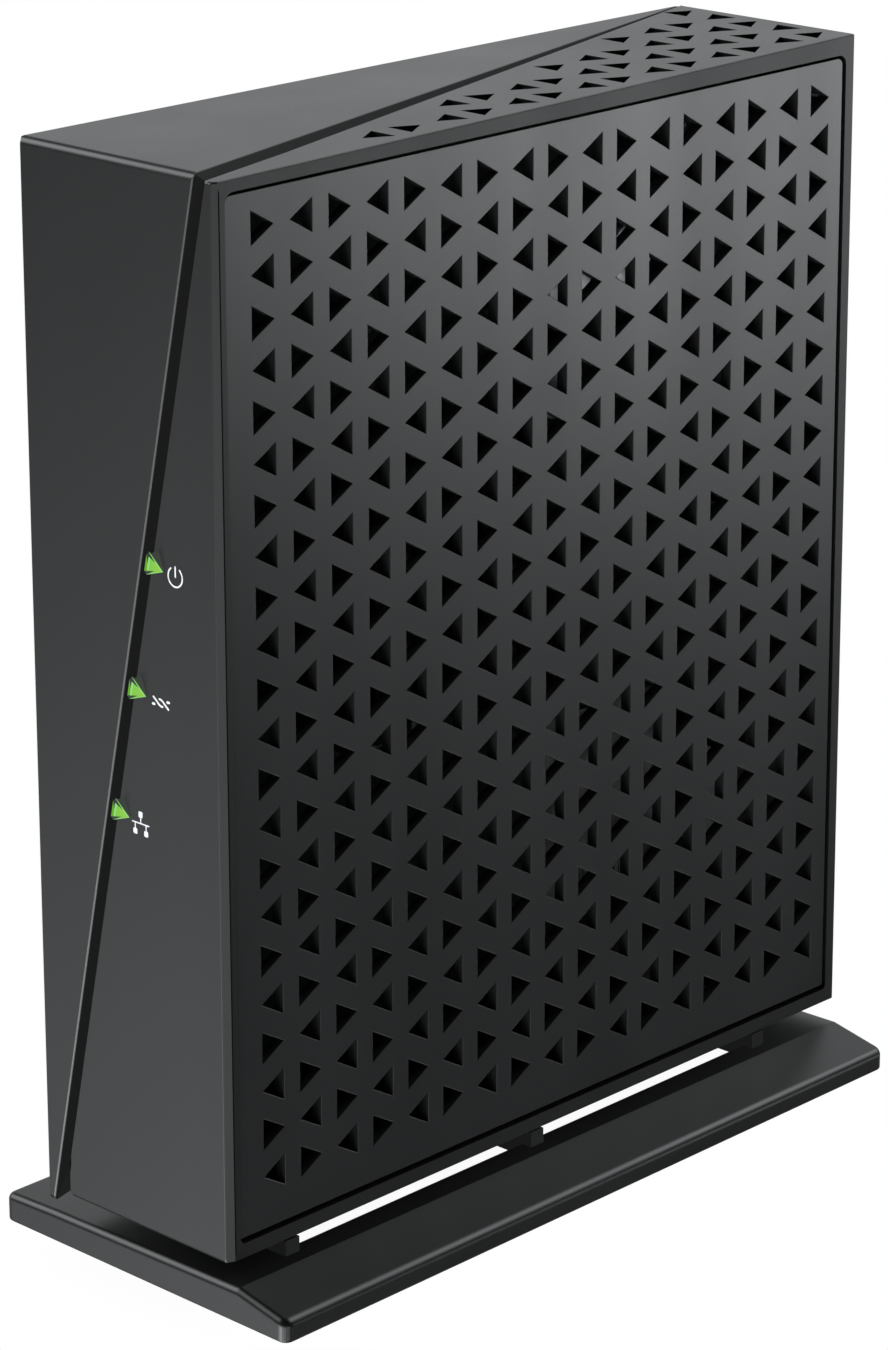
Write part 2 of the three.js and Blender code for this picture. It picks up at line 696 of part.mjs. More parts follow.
function stand() {
  const half = STAND_WIDTH / 2;
  const end = STAND_LENGTH / 2;
  const corner = roundedRectangle(-half, half, -end, end, STAND_CORNER);
  const slab = prismY(standOutside(half), -end, end).intersect(prismZ(corner, STAND_BOTTOM - 1, 0));
  const hollow = prismY(standHollow(half - STAND_WALL), -end + STAND_WALL, end - STAND_WALL);
  const windows = [[RIBS[0][1], RIBS[1][0]], [RIBS[1][1], RIBS[2][0]]].map(([y0, y1]) => {
    return block(-WINDOW_HALF_WIDTH, WINDOW_HALF_WIDTH, y0, y1, -10, 1);
  });
  const ribs = RIBS.map(([y0, y1]) => block(-SIDE, SIDE, y0, y1, STAND_TOP - 0.5, -0.15));
  const tabs = [RIBS[0], RIBS[2]].map(([y0, y1]) => {
    return block(-TAB_HALF_WIDTH, TAB_HALF_WIDTH, y0 + 0.35, y1 - 0.35, -0.5, TAB_HEIGHT);
  });
  const pads = footSpots().map(([x, y]) => rodZ(FOOT_RADIUS + 1, FOOT_TOP + 0.15, STAND_EDGE_TOP, x, y));
  return slab
    .subtract(hollow)
    .subtract(joinAll(windows))
    .add(joinAll(ribs))
    .add(joinAll(tabs))
    .add(joinAll(pads));
}

function footSpots() {
  return [[-FOOT_X, -FOOT_Y], [FOOT_X, -FOOT_Y], [-FOOT_X, FOOT_Y], [FOOT_X, FOOT_Y]];
}

function rubberFoot([x, y]) {
  return rodZ(FOOT_RADIUS, FOOT_BOTTOM, FOOT_TOP, x, y);
}

// Materials and assembly -------------------------------------------------------------

function material(colour, roughness, metalness) {
  return new THREE.MeshStandardMaterial({ color: colour, roughness, metalness });
}

const FINISH = {
  satinBlack: [0x2c2d2e, 0.45, 0],
  darkPlastic: [0x1b1c1d, 0.55, 0],
  lensGreen: [0x6fd13a, 0.25, 0],
  boardGreen: [0x1e5a3a, 0.6, 0],
  chipBlack: [0x151515, 0.6, 0],
  tinPlate: [0xb9bcc0, 0.35, 0.9],
  aluminium: [0xa8acb0, 0.4, 0.9],
  brass: [0xb08d4a, 0.35, 0.9],
  ledWhite: [0xe8ead8, 0.5, 0],
  ribbonGrey: [0x9a9da0, 0.7, 0],
  padGrey: [0x8a8f96, 0.9, 0],
  sleeveBlue: [0x26344f, 0.5, 0],
  rubberBlack: [0x121212, 0.95, 0],
  insulatorWhite: [0xe9e6dc, 0.6, 0],
};

const assembly = new THREE.Group();
assembly.name = 'cable_modem';

function add(name, manifold, finish) {
  const { numProp, vertProperties, triVerts } = manifold.getMesh();
  const positions = new Float32Array((vertProperties.length / numProp) * 3);
  for (let i = 0; i < positions.length / 3; i += 1) {
    positions.set(vertProperties.subarray(i * numProp, i * numProp + 3), i * 3);
  }
  const geometry = new THREE.BufferGeometry();
  geometry.setAttribute('position', new THREE.BufferAttribute(positions, 3));
  geometry.setIndex(new THREE.BufferAttribute(new Uint32Array(triVerts), 1));
  geometry.translate(0, -OVERALL_MIDDLE_Y, HOUSING_LIFT);
  geometry.computeVertexNormals();
  const mesh = new THREE.Mesh(geometry, material(...finish));
  mesh.name = name;
  assembly.add(mesh);
}

function addHousing() {
  add('main_housing', mainHousing(), FINISH.satinBlack);
  add('front_corner_cover', frontCornerCover(), FINISH.satinBlack);
  add('side_grille', sideGrille(), FINISH.satinBlack);
  add('rear_panel', rearPanel(), FINISH.darkPlastic);
}

function addStatusLights() {
  Object.entries(LENS_HEIGHTS).forEach(([name, height]) => {
    add(`lens_${name}`, lens(height), FINISH.lensGreen);
    add(`status_led_${name}`, statusLed(height), FINISH.ledWhite);
  });
  add('status_board', statusBoard(), FINISH.boardGreen);
  add('status_ribbon', statusRibbon(), FINISH.ribbonGrey);
}

function addBoard() {
  add('main_board', mainBoard(), FINISH.boardGreen);
  SCREW_SPOTS.forEach((spot, i) => add(`board_screw_${i + 1}`, boardScrew(spot), FINISH.tinPlate));
  add('modem_chip', modemChip(), FINISH.chipBlack);
  add('thermal_pad', thermalPad(), FINISH.padGrey);
  add('heatsink', heatsink(), FINISH.aluminium);
  add('memory_chip', chip(-38, -29, 60, 73, 1.1), FINISH.chipBlack);
  add('flash_chip', chip(-38, -32, 84, 89, 1.5), FINISH.chipBlack);
  add('tuner_shield', tunerShield(), FINISH.tinPlate);
  add('crystal_can', crystalCan(), FINISH.tinPlate);
  add('ethernet_transformer', chip(20, 33, 47, 64, 5.6), FINISH.chipBlack);
  add('power_inductor', powerInductor(), FINISH.chipBlack);
  const capacitors = [[14, 101, 4, 11], [25, 104, 4, 11], [14, 88, 3.15, 9], [-20, 104, 3.15, 9]];
  capacitors.forEach((spec, i) => add(`capacitor_${i + 1}`, capacitor(...spec), FINISH.sleeveBlue));
}

function addConnectors() {
  add('ethernet_jack', ethernetJack(), FINISH.darkPlastic);
  add('ethernet_contacts', ethernetContacts(), FINISH.brass);
  add('coax_base', coaxBase(), FINISH.tinPlate);
  add('coax_barrel', coaxBarrel(), FINISH.tinPlate);
  add('coax_insulator', coaxInsulator(), FINISH.insulatorWhite);
  add('coax_nut', coaxNut(), FINISH.tinPlate);
  add('dc_jack', dcJack(), FINISH.darkPlastic);
  add('dc_pin', dcPin(), FINISH.tinPlate);
  add('power_switch', powerSwitch(), FINISH.darkPlastic);
  add('power_button', powerButton(), FINISH.darkPlastic);
  add('reset_switch', resetSwitch(), FINISH.darkPlastic);
  add('reset_button', resetButton(), FINISH.darkPlastic);
}

function addStand() {
  add('stand', stand(), FINISH.satinBlack);
  footSpots().forEach((spot, i) => add(`rubber_foot_${i + 1}`, rubberFoot(spot), FINISH.rubberBlack));
}

addHousing();
addStatusLights();
addBoard();
addConnectors();
addStand();

export default assembly;
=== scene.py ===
"""Looks for the cable modem.

Rounded covers, perforated grille, lit lenses, printed marks, rear connectors, a plain floor and soft light.
"""

import math

import bmesh
import bpy
from mathutils import Matrix, Vector


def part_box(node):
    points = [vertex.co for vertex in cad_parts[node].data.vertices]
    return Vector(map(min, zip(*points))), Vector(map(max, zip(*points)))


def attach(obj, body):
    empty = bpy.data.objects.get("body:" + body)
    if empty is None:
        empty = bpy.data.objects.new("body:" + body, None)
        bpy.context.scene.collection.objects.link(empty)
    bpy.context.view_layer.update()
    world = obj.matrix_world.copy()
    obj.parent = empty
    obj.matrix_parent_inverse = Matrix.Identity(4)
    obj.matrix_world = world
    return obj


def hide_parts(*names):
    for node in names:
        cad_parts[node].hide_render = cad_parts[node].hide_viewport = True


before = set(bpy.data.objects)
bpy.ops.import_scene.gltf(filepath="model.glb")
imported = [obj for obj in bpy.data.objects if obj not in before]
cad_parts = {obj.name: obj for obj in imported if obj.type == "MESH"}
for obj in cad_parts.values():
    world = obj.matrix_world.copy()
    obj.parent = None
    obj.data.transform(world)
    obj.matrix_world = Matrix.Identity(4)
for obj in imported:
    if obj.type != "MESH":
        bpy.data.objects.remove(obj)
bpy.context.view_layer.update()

MM = 0.001

# Housing, in millimetres from the middle of its underside (front -Y, grille side +X)
SIDE = 14.25
FRONT = -55.5
BACK = 55.5
HEIGHT = 128.0
FRONT_RECESS_TOP = 2.38
FRONT_RECESS_BOTTOM = 2.1
TOP_EDGE_RISE = 0.44

# Front corner cover
SEAM_TOP = Vector((14.0, FRONT, HEIGHT))
SEAM_BOTTOM = Vector((-13.2, FRONT, 0.0))
SEAM_BACK = Vector((-SIDE, BACK, HEIGHT))
COVER_THICKNESS = 1.3
COVER_CLEARANCE = 0.02

# Edge radii
LARGEST_RADIUS = 0.9
COVER_TOP_FRONT_RADIUS = 0.9
COVER_SEAM_RADIUS = 0.42
COVER_CRISP_RADIUS = 0.08
BOTTOM_FRONT_RADIUS = 0.62
STAND_RIM_RADIUS = 0.85
STAND_FOOT_RADIUS = 0.35
STAND_RIB_RADIUS = 0.12
STAND_SHORTEST_ROUNDED = 3.0
STAND_RIM_WIDTH = 1.4

# Triangle pattern of the side
COLUMN_PITCH = 5.935
ROW_PITCH = 5.325
HOLE_SIDE = 3.9
COLUMNS = 17
ROWS = 22
FIRST_COLUMN_Y = -45.6
TOP_ROW_Z = 120.65
GRILLE_THICKNESS = 1.6
GRILLE_EDGE_RADIUS = 0.06
GRILLE_CORNER_BOTTOM = 0.35
GRILLE_CORNER_TOP = 0.9

# Status lenses
LENS_SIDE = 2.65
LENS_FROM_SEAM = 0.08
LENS_FRONT_Y = -54.5
LENS_BACK_Y = -50.5
LENS_LIP_Y = -54.9
LENS_LIP_REACH = -0.05
LENS_LIP_ENDS = (1.2, -0.78)
LENS_TIP = (-0.66, 1.47, -53.55)
LENS_RIM = 0.1
LENS_CLEARANCE = 0.2
LENS_HEIGHTS = {"power": 82.25, "link": 66.92, "network": 51.66}
LENS_PARTS = ("lens", "lens_rim_painted_highlight", "lens_lip_painted_shade", "lens_side_painted_light", "housing")

# Printed marks: middle on the front face, stroke widths and boxes
MARK_PLACES = {"power": (7.29, 81.04), "link": (4.57, 65.7), "network": (0.78, 50.38)}
MARK_LIFT = 0.012
MARK_LAYER = 0.0015
MARK_DEPTH = 0.01
POWER_RING_RADIUS = 1.15
POWER_RING_GAP = 38.0
POWER_RING_LINE = 0.2
POWER_BAR_LINE = 0.22
LINK_LINE = 0.25
LINK_STUB_LINE = 0.31
NETWORK_LINE = 0.15
NETWORK_BAR_LINE = 0.16
NETWORK_SPREAD = 0.91
NETWORK_BOX_WIDTH = 0.66
NETWORK_UPPER_BOX = 0.74
NETWORK_LOWER_BOX = 0.68

# Coax thread, 3/8-32
THREAD_PITCH = 0.794
THREAD_DEPTH = 0.42
THREAD_LEAD_IN = 0.5
THREAD_SIDES = 48
RINGS_PER_PITCH = 6
MOUTH_RADIUS = 3.4
BORE_RADIUS = 3.2
BORE_FLOOR_Y = 57.0

# Plastic finishes
PLASTIC_IOR = 1.47
WORN_EDGE = 0.25
WORN_AMOUNT = 0.35
CASE_COLOUR = (0.0055, 0.0056, 0.0058)
CASE_ROUGHNESS = 0.327
CASE_GRAIN = 0.0008

# Camera
CAMERA_POSITION = Vector((364.5, -380.9, 232.7))
CAMERA_AZIMUTH = 43.488
CAMERA_ELEVATION = 16.357
LENS_LENGTH = 122.2
SENSOR_WIDTH = 36.0
SHIFT_X = -0.02637
SHIFT_Y = -0.13496

# From the housing's own millimetres to the frame
housing_low, housing_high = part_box("main_housing")
ROW_ORIGIN = Vector((0.0, housing_high.y / MM - BACK, housing_low.z / MM))
TO_ROW = Matrix.Scale(MM, 4) @ Matrix.Translation(ROW_ORIGIN)


# Node helpers -------------------------------------------------------------


class Nodes:
    """A short way to add and link shader nodes."""

    def __init__(self, tree):
        self.tree = tree

    def add(self, kind, **values):
        node = self.tree.nodes.new(kind)
        for key, value in values.items():
            if hasattr(node, key):
                setattr(node, key, value)
            else:
                node.inputs[key.replace("_", " ")].default_value = value
        return node

    def link(self, source, target):
        self.tree.links.new(source, target)

    def math(self, operation, a, b=0.0, clamp=False):
        node = self.tree.nodes.new("ShaderNodeMath")
        node.operation = operation
        node.use_clamp = clamp
        for slot, value in zip(node.inputs, (a, b)):
            if hasattr(value, "is_linked"):
                self.link(value, slot)
            else:
                slot.default_value = value
        return node.outputs[0]

    def remap(self, value, low, high, to_low, to_high, smooth=False):
        node = self.tree.nodes.new("ShaderNodeMapRange")
        node.interpolation_type = "SMOOTHSTEP" if smooth else "LINEAR"
        self.link(value, node.inputs["Value"])
        node.inputs["From Min"].default_value = low
        node.inputs["From Max"].default_value = high
        node.inputs["To Min"].default_value = to_low
        node.inputs["To Max"].default_value = to_high
        return node.outputs["Result"]

    def mix(self, factor, a, b):
        node = self.tree.nodes.new("ShaderNodeMix")
        node.data_type = "RGBA"
        slots = {"Factor": factor, "A": a, "B": b}
        for name, value in slots.items():
            socket = [s for s in node.inputs if s.name == name and s.enabled][0]
            if hasattr(value, "is_linked"):
                self.link(value, socket)
            elif name == "Factor":
                socket.default_value = value
            else:
                socket.default_value = (*value, 1.0)
        return [s for s in node.outputs if s.enabled][0]


def new_material(name):
    """An empty node material with a principled shader on its output."""
    material = bpy.data.materials.new(name)
    material.use_nodes = True
    tree = material.node_tree
    tree.nodes.clear()
    nodes = Nodes(tree)
    shader = nodes.add("ShaderNodeBsdfPrincipled")
    output = nodes.add("ShaderNodeOutputMaterial")
    nodes.link(shader.outputs[0], output.inputs["Surface"])
    return material, nodes, shader


def object_noise(nodes, scale, detail=3.0, stretch=(1.0, 1.0, 1.0)):
    """Noise fixed to the object; scale is in cells per metre."""
    coords = nodes.add("ShaderNodeTexCoord")
    mapping = nodes.add("ShaderNodeMapping")
    mapping.inputs["Scale"].default_value = stretch
    nodes.link(coords.outputs["Object"], mapping.inputs["Vector"])
    noise = nodes.add("ShaderNodeTexNoise")
    noise.inputs["Scale"].default_value = scale
    noise.inputs["Detail"].default_value = detail
    nodes.link(mapping.outputs["Vector"], noise.inputs["Vector"])
    return noise.outputs["Fac"]


def rounded_normal(nodes, shader, radius_mm, grain, grain_mm):
    """Softened edges plus a fine bump from the grain."""
    bump = nodes.add("ShaderNodeBump")
    bump.inputs["Distance"].default_value = grain_mm * MM
    bump.inputs["Strength"].default_value = 1.0
    nodes.link(grain, bump.inputs["Height"])
    if radius_mm > 0:
        bevel = nodes.add("ShaderNodeBevel", samples=6)
        bevel.inputs["Radius"].default_value = radius_mm * MM
        nodes.link(bevel.outputs["Normal"], bump.inputs["Normal"])
    nodes.link(bump.outputs["Normal"], shader.inputs["Normal"])


def edge_mask(nodes, radius_mm):
    """One on sharp edges, zero on flats."""
    geometry = nodes.add("ShaderNodeNewGeometry")
    bevel = nodes.add("ShaderNodeBevel", samples=4)
    bevel.inputs["Radius"].default_value = radius_mm * MM
    dot = nodes.add("ShaderNodeVectorMath", operation="DOT_PRODUCT")
    nodes.link(geometry.outputs["Normal"], dot.inputs[0])
    nodes.link(bevel.outputs["Normal"], dot.inputs[1])
    return nodes.remap(dot.outputs["Value"], 0.98, 0.72, 0.0, 1.0)


def plastic(name, colour, roughness, radius_mm=0.3, grain_mm=0.0016):
    """Moulded plastic: fine spark-eroded grain, slight handling sheen, edges a touch paler."""
    material, nodes, shader = new_material(name)
    fine = object_noise(nodes, 5200.0, detail=2.0)
    broad = object_noise(nodes, 38.0, detail=4.0)
    streak = object_noise(nodes, 60.0, detail=2.0, stretch=(1.0, 1.0, 0.15))
    paler = tuple(min(1.0, c * 1.35 + 0.004) for c in colour)
    darker = tuple(c * 0.9 for c in colour)
    base = nodes.mix(nodes.remap(broad, 0.3, 0.7, 0.0, 1.0), darker, colour)
    worn = nodes.math("MULTIPLY", edge_mask(nodes, WORN_EDGE), WORN_AMOUNT)
    base = nodes.mix(worn, base, paler)
    nodes.link(base, shader.inputs["Base Color"])
    sheen = nodes.math("ADD", nodes.remap(streak, 0.3, 0.7, -0.02, 0.02), roughness)
    rough = nodes.math("ADD", nodes.remap(fine, 0.2, 0.8, -0.02, 0.02), sheen, clamp=True)
    nodes.link(rough, shader.inputs["Roughness"])
    shader.inputs["IOR"].default_value = PLASTIC_IOR
    rounded_normal(nodes, shader, radius_mm, fine, grain_mm)
    return material


def case_plastic(name):
    """The satin black of housing, cover and stand, whose rounded edges are in the mesh."""
    return plastic(name, CASE_COLOUR, CASE_ROUGHNESS, radius_mm=0.0, grain_mm=CASE_GRAIN)


def shaded_wall(name, level):
    """Dull plastic in a narrow step, its dim even brightness painted in as a faint glow: painted shade."""
    material, nodes, shader = new_material(name)
    grain = object_noise(nodes, 2600.0, detail=3.0)
    tint = tuple(level * c for c in (1.0, 1.02, 1.06))
    darker = tuple(c * 0.85 for c in tint)
    # Painted shade: the emission gives the step its dim, even brightness.
    nodes.link(nodes.mix(grain, darker, tint), shader.inputs["Emission Color"])
    shader.inputs["Emission Strength"].default_value = 1.0
    shader.inputs["Base Color"].default_value = (0.002, 0.002, 0.002, 1.0)
    shader.inputs["Roughness"].default_value = 0.75
    shader.inputs["Specular IOR Level"].default_value = 0.02
    return material


def metal(name, colour, roughness, stretch):
    """Plated or bare metal with drawn lines along one direction and small stains."""
    material, nodes, shader = new_material(name)
    lines = object_noise(nodes, 900.0, detail=3.0, stretch=stretch)
    stains = object_noise(nodes, 120.0, detail=5.0)
    dull = tuple(c * 0.7 for c in colour)
    stained = nodes.remap(stains, 0.45, 0.75, 0.0, 0.6)
    nodes.link(nodes.mix(stained, colour, dull), shader.inputs["Base Color"])
    shader.inputs["Metallic"].default_value = 1.0
    rough = nodes.math("ADD", nodes.remap(lines, 0.2, 0.8, -0.06, 0.1), roughness, clamp=True)
    nodes.link(rough, shader.inputs["Roughness"])
    rounded_normal(nodes, shader, 0.15, lines, 0.002)
    return material


def rubber(name, colour):
    """Porous rubber with a little dust in it."""
    material, nodes, shader = new_material(name)
    pores = object_noise(nodes, 3500.0, detail=4.0)
    dust = object_noise(nodes, 300.0, detail=3.0)
    dusty = tuple(c * 1.6 + 0.01 for c in colour)
    dusted = nodes.remap(dust, 0.5, 0.75, 0.0, 0.5)
    nodes.link(nodes.mix(dusted, colour, dusty), shader.inputs["Base Color"])
    nodes.link(nodes.remap(pores, 0.2, 0.8, 0.8, 0.95), shader.inputs["Roughness"])
    rounded_normal(nodes, shader, 0.25, pores, 0.006)
    return material


def circuit_board(name):
    """Very dark green solder mask, partly painted shade that keeps the board near black inside the case,
    with faint copper tracks under it and pads showing through.
    """
    material, nodes, shader = new_material(name)
    coords = nodes.add("ShaderNodeTexCoord")
    mapping = nodes.add("ShaderNodeMapping")
    mapping.inputs["Rotation"].default_value = (0.0, math.radians(90.0), 0.0)
    nodes.link(coords.outputs["Object"], mapping.inputs["Vector"])
    tracks = nodes.add("ShaderNodeTexBrick")
    tracks.inputs["Scale"].default_value = 420.0
    tracks.inputs["Mortar Size"].default_value = 0.08
    tracks.inputs["Color1"].default_value = (0.0, 0.0, 0.0, 1.0)
    tracks.inputs["Color2"].default_value = (0.25, 0.25, 0.25, 1.0)
    tracks.inputs["Mortar"].default_value = (1.0, 1.0, 1.0, 1.0)
    nodes.link(mapping.outputs["Vector"], tracks.inputs["Vector"])
    pads = nodes.add("ShaderNodeTexVoronoi", feature="F1")
    pads.inputs["Scale"].default_value = 260.0
    nodes.link(coords.outputs["Object"], pads.inputs["Vector"])
    on_pad = nodes.remap(pads.outputs["Distance"], 0.16, 0.12, 0.0, 1.0)
    # Painted shade: the mask is darker than green solder mask, so the board stays near black inside the
    # case.
    solder_mask_and_shade = nodes.mix(tracks.outputs["Fac"], (0.003, 0.012, 0.007), (0.006, 0.026, 0.013))
    nodes.link(nodes.mix(on_pad, solder_mask_and_shade, (0.14, 0.13, 0.11)), shader.inputs["Base Color"])
    nodes.link(nodes.math("MULTIPLY", on_pad, 0.9), shader.inputs["Metallic"])
    shader.inputs["Roughness"].default_value = 0.45
    rounded_normal(nodes, shader, 0.1, tracks.outputs["Fac"], 0.02)
    return material


def heat_pad(name):
    """Soft grey silicone with a fabric-like surface."""
    material, nodes, shader = new_material(name)
    weave = object_noise(nodes, 1600.0, detail=6.0)
    nodes.link(nodes.mix(weave, (0.2, 0.22, 0.25), (0.32, 0.34, 0.37)), shader.inputs["Base Color"])
    shader.inputs["Roughness"].default_value = 0.85
    rounded_normal(nodes, shader, 0.1, weave, 0.01)
    return material


def flat_cable(name):
    """Grey flat cable with a line for each wire."""
    material, nodes, shader = new_material(name)
    coords = nodes.add("ShaderNodeTexCoord")
    wave = nodes.add("ShaderNodeTexWave", bands_direction="Z")
    wave.inputs["Scale"].default_value = 320.0
    nodes.link(coords.outputs["Object"], wave.inputs["Vector"])
    wires = nodes.mix(wave.outputs["Fac"], (0.18, 0.18, 0.19), (0.42, 0.42, 0.43))
    nodes.link(wires, shader.inputs["Base Color"])
    shader.inputs["Roughness"].default_value = 0.6
    rounded_normal(nodes, shader, 0.05, wave.outputs["Fac"], 0.04)
    return material


def capacitor_sleeve(name):
    """Dark shrink sleeve with a paler stripe down one side and a bare top."""
    material, nodes, shader = new_material(name)
    coords = nodes.add("ShaderNodeTexCoord")
    split = nodes.add("ShaderNodeSeparateXYZ")
    nodes.link(coords.outputs["Generated"], split.inputs[0])
    stripe = nodes.remap(split.outputs["Z"], 0.8, 0.82, 0.0, 1.0)
    top = nodes.remap(split.outputs["X"], 0.985, 0.99, 0.0, 1.0)
    scuffs = object_noise(nodes, 700.0, detail=4.0)
    sleeve = nodes.mix(nodes.math("MULTIPLY", stripe, 0.7), (0.012, 0.02, 0.055), (0.35, 0.38, 0.42))
    nodes.link(nodes.mix(top, sleeve, (0.6, 0.61, 0.63)), shader.inputs["Base Color"])
    nodes.link(top, shader.inputs["Metallic"])
    nodes.link(nodes.remap(scuffs, 0.2, 0.8, 0.25, 0.45), shader.inputs["Roughness"])
    rounded_normal(nodes, shader, 0.2, scuffs, 0.004)
    return material


def lit_lens(name, centre, edge):
    """Translucent green plastic lit from behind, with a warmer middle; its brighter and dimmer copies paint
    a highlight on the cut edges, shade on the lip and the lit grey of the plastic around on the sides.
    """
    material, nodes, shader = new_material(name)
    coords = nodes.add("ShaderNodeTexCoord")
    gradient = nodes.add("ShaderNodeVectorMath", operation="DISTANCE")
    gradient.inputs[1].default_value = (0.5, 0.2, 0.38)
    nodes.link(coords.outputs["Generated"], gradient.inputs[0])
    cloud = object_noise(nodes, 900.0, detail=2.0)
    spread = nodes.math("ADD", gradient.outputs["Value"], nodes.remap(cloud, 0.3, 0.7, -0.06, 0.06))
    glow = nodes.mix(nodes.remap(spread, 0.08, 0.6, 0.0, 1.0, smooth=True), centre, edge)
    nodes.link(glow, shader.inputs["Emission Color"])
    shader.inputs["Emission Strength"].default_value = 1.0
    shader.inputs["Base Color"].default_value = (0.003, 0.012, 0.002, 1.0)
    shader.inputs["Roughness"].default_value = 0.3
    shader.inputs["Specular IOR Level"].default_value = 0.1
    rounded_normal(nodes, shader, 0.0, cloud, 0.002)
    return material


def printed_ink(name):
    """White pad-printed ink with slightly uneven cover and a faint glow that is painted light."""
    material, nodes, shader = new_material(name)
    cover = object_noise(nodes, 4000.0, detail=3.0)
    fullness = nodes.remap(cover, 0.3, 0.7, 0.0, 1.0)
    white = nodes.mix(fullness, (0.5, 0.52, 0.54), (0.66, 0.68, 0.7))
    nodes.link(white, shader.inputs["Base Color"])
    nodes.link(cover, shader.inputs["Roughness"])
    # The faint glow is painted light.
    shader.inputs["Emission Color"].default_value = (0.8, 0.84, 0.88, 1.0)
    shader.inputs["Emission Strength"].default_value = 0.2
    rounded_normal(nodes, shader, 0.0, cover, 0.001)
    return material


MATERIALS = {
    "housing": case_plastic("housing_plastic"),
    "cover": case_plastic("cover_plastic"),
    # Painted shade: fixed dim glows for the seam walls and the stand's ribs.
    "front_wall_painted_shade": shaded_wall("front_seam_wall_painted_shade", 0.0105),
    "top_wall_painted_shade": shaded_wall("top_seam_wall_painted_shade", 0.026),
    "rib_wall_painted_shade": shaded_wall("rib_wall_painted_shade", 0.0045),
    "grille": plastic("grille_plastic", (0.026, 0.0265, 0.027), 0.226, radius_mm=0.0, grain_mm=0.0003),
    "stand": case_plastic("stand_plastic"),
    "rear": plastic("rear_plastic", (0.014, 0.014, 0.0145), 0.5),
    "button": plastic("button_plastic", (0.03, 0.03, 0.031), 0.42, radius_mm=0.35),
    "jack": plastic("jack_plastic", (0.01, 0.01, 0.0105), 0.45, radius_mm=0.15),
    "chip": plastic("chip_epoxy", (0.013, 0.013, 0.013), 0.55, radius_mm=0.1, grain_mm=0.004),
    "insulator": plastic("insulator_plastic", (0.72, 0.7, 0.64), 0.5, radius_mm=0.1),
    "led": plastic("led_body_plastic", (0.62, 0.66, 0.55), 0.35, radius_mm=0.1),
    "tin": metal("tin_plate", (0.72, 0.73, 0.75), 0.3, (1.0, 1.0, 0.1)),
    "thread": metal("threaded_plate", (0.78, 0.76, 0.72), 0.26, (1.0, 0.1, 1.0)),
    "aluminium": metal("black_anodised_aluminium", (0.03, 0.031, 0.033), 0.42, (1.0, 1.0, 0.05)),
    "gold": metal("contact_gold", (0.85, 0.62, 0.25), 0.25, (0.1, 1.0, 1.0)),
    "rubber": rubber("foot_rubber", (0.012, 0.012, 0.012)),
    "board": circuit_board("board_green"),
    "pad": heat_pad("thermal_pad_grey"),
    "ribbon": flat_cable("ribbon_grey"),
    "sleeve": capacitor_sleeve("capacitor_sleeve"),
    "lens": lit_lens("lens_green_face", (0.25, 0.56, 0.045), (0.14, 0.55, 0.045)),
    # Copies of the lens glow: the rim's brighter one is a painted highlight, the lip's dimmer one painted
    # shade, and the sides' grey-green one painted light matched to the plastic around.
    "lens_rim_painted_highlight": lit_lens("lens_green_rim_painted_highlight", (0.28, 0.68, 0.19), (0.26, 0.68, 0.19)),
    "lens_lip_painted_shade": lit_lens("lens_green_lip_painted_shade", (0.16, 0.4, 0.032), (0.13, 0.38, 0.03)),
    "lens_side_painted_light": lit_lens("lens_green_side_painted_light", (0.049, 0.058, 0.048), (0.046, 0.052, 0.048)),
    "ink": printed_ink("white_ink_painted_glow"),
}


# Mesh helpers -------------------------------------------------------------


def object_from(name, bm, in_row_frame=False):
    """An object in the frame, from a mesh in the housing's millimetres or already in the frame."""
    mesh = bpy.data.meshes.new(name)
    bmesh.ops.recalc_face_normals(bm, faces=bm.faces)
    bm.to_mesh(mesh)
    bm.free()
    if not in_row_frame:
        mesh.transform(TO_ROW)
    piece = bpy.data.objects.new(name, mesh)
    bpy.context.scene.collection.objects.link(piece)
    return piece


def smooth(piece, degrees):
    """Smooth shading except across edges sharper than this."""
    piece.data.shade_smooth()
    piece.data.set_sharp_from_angle(angle=math.radians(degrees))
    return piece


def weigh_edges(bm, radius_of):
    """Note each edge's own radius in millimetres; the faces keep their flat shading."""
    weights = bm.edges.layers.float.new("bevel_weight_edge")
    for edge in bm.edges:
        edge[weights] = radius_of(edge) / LARGEST_RADIUS
    for face in bm.faces:
        face.smooth = False


def round_edges(piece, segments=8):
    """Round the weighted edges in steps too fine to see."""
    bevel = piece.modifiers.new("rounded_edges", "BEVEL")
    bevel.width = LARGEST_RADIUS * MM
    bevel.segments = segments
    bevel.limit_method = "WEIGHT"
    bevel.use_clamp_overlap = False
    return piece


def smooth_curves(bm, degrees):
    """Smooth shading across gentle turns only."""
    limit = math.radians(degrees)
    for edge in bm.edges:
        edge.smooth = edge.calc_face_angle(math.pi) < limit
    for face in bm.faces:
        face.smooth = True


def even_normals(piece):
    """Keep the flats flat where they meet rounded edges."""
    even = piece.modifiers.new("flat_normals", "WEIGHTED_NORMAL")
    even.keep_sharp = True
    even.weight = 100
    return piece


def dress(piece, material, body, slot, *nodes):
    """Give a piece its material and the body it rides on, and hide the CAD nodes it stands for. The slot is
    not used.
    """
    if material:
        piece.data.materials.clear()
        piece.data.materials.append(MATERIALS[material])
    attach(piece, body)
    if nodes:
        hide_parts(*nodes)
    return piece


def copied_node(node):
    """The CAD node's shape as a clean mesh: joined corners, flat faces merged."""
    bm = bmesh.new()
    bm.from_mesh(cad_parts[node].data)
    bmesh.ops.remove_doubles(bm, verts=bm.verts, dist=1e-6)
    limit = math.radians(0.4)
    bmesh.ops.dissolve_limit(bm, angle_limit=limit, verts=bm.verts, edges=bm.edges)
    bm.normal_update()
    return bm


def turns_outward(edge, degrees):
    """Whether two faces meet here in an outer edge sharper than this."""
    if len(edge.link_faces) != 2 or not edge.is_convex:
        return False
    return edge.calc_face_angle(0.0) > math.radians(degrees)


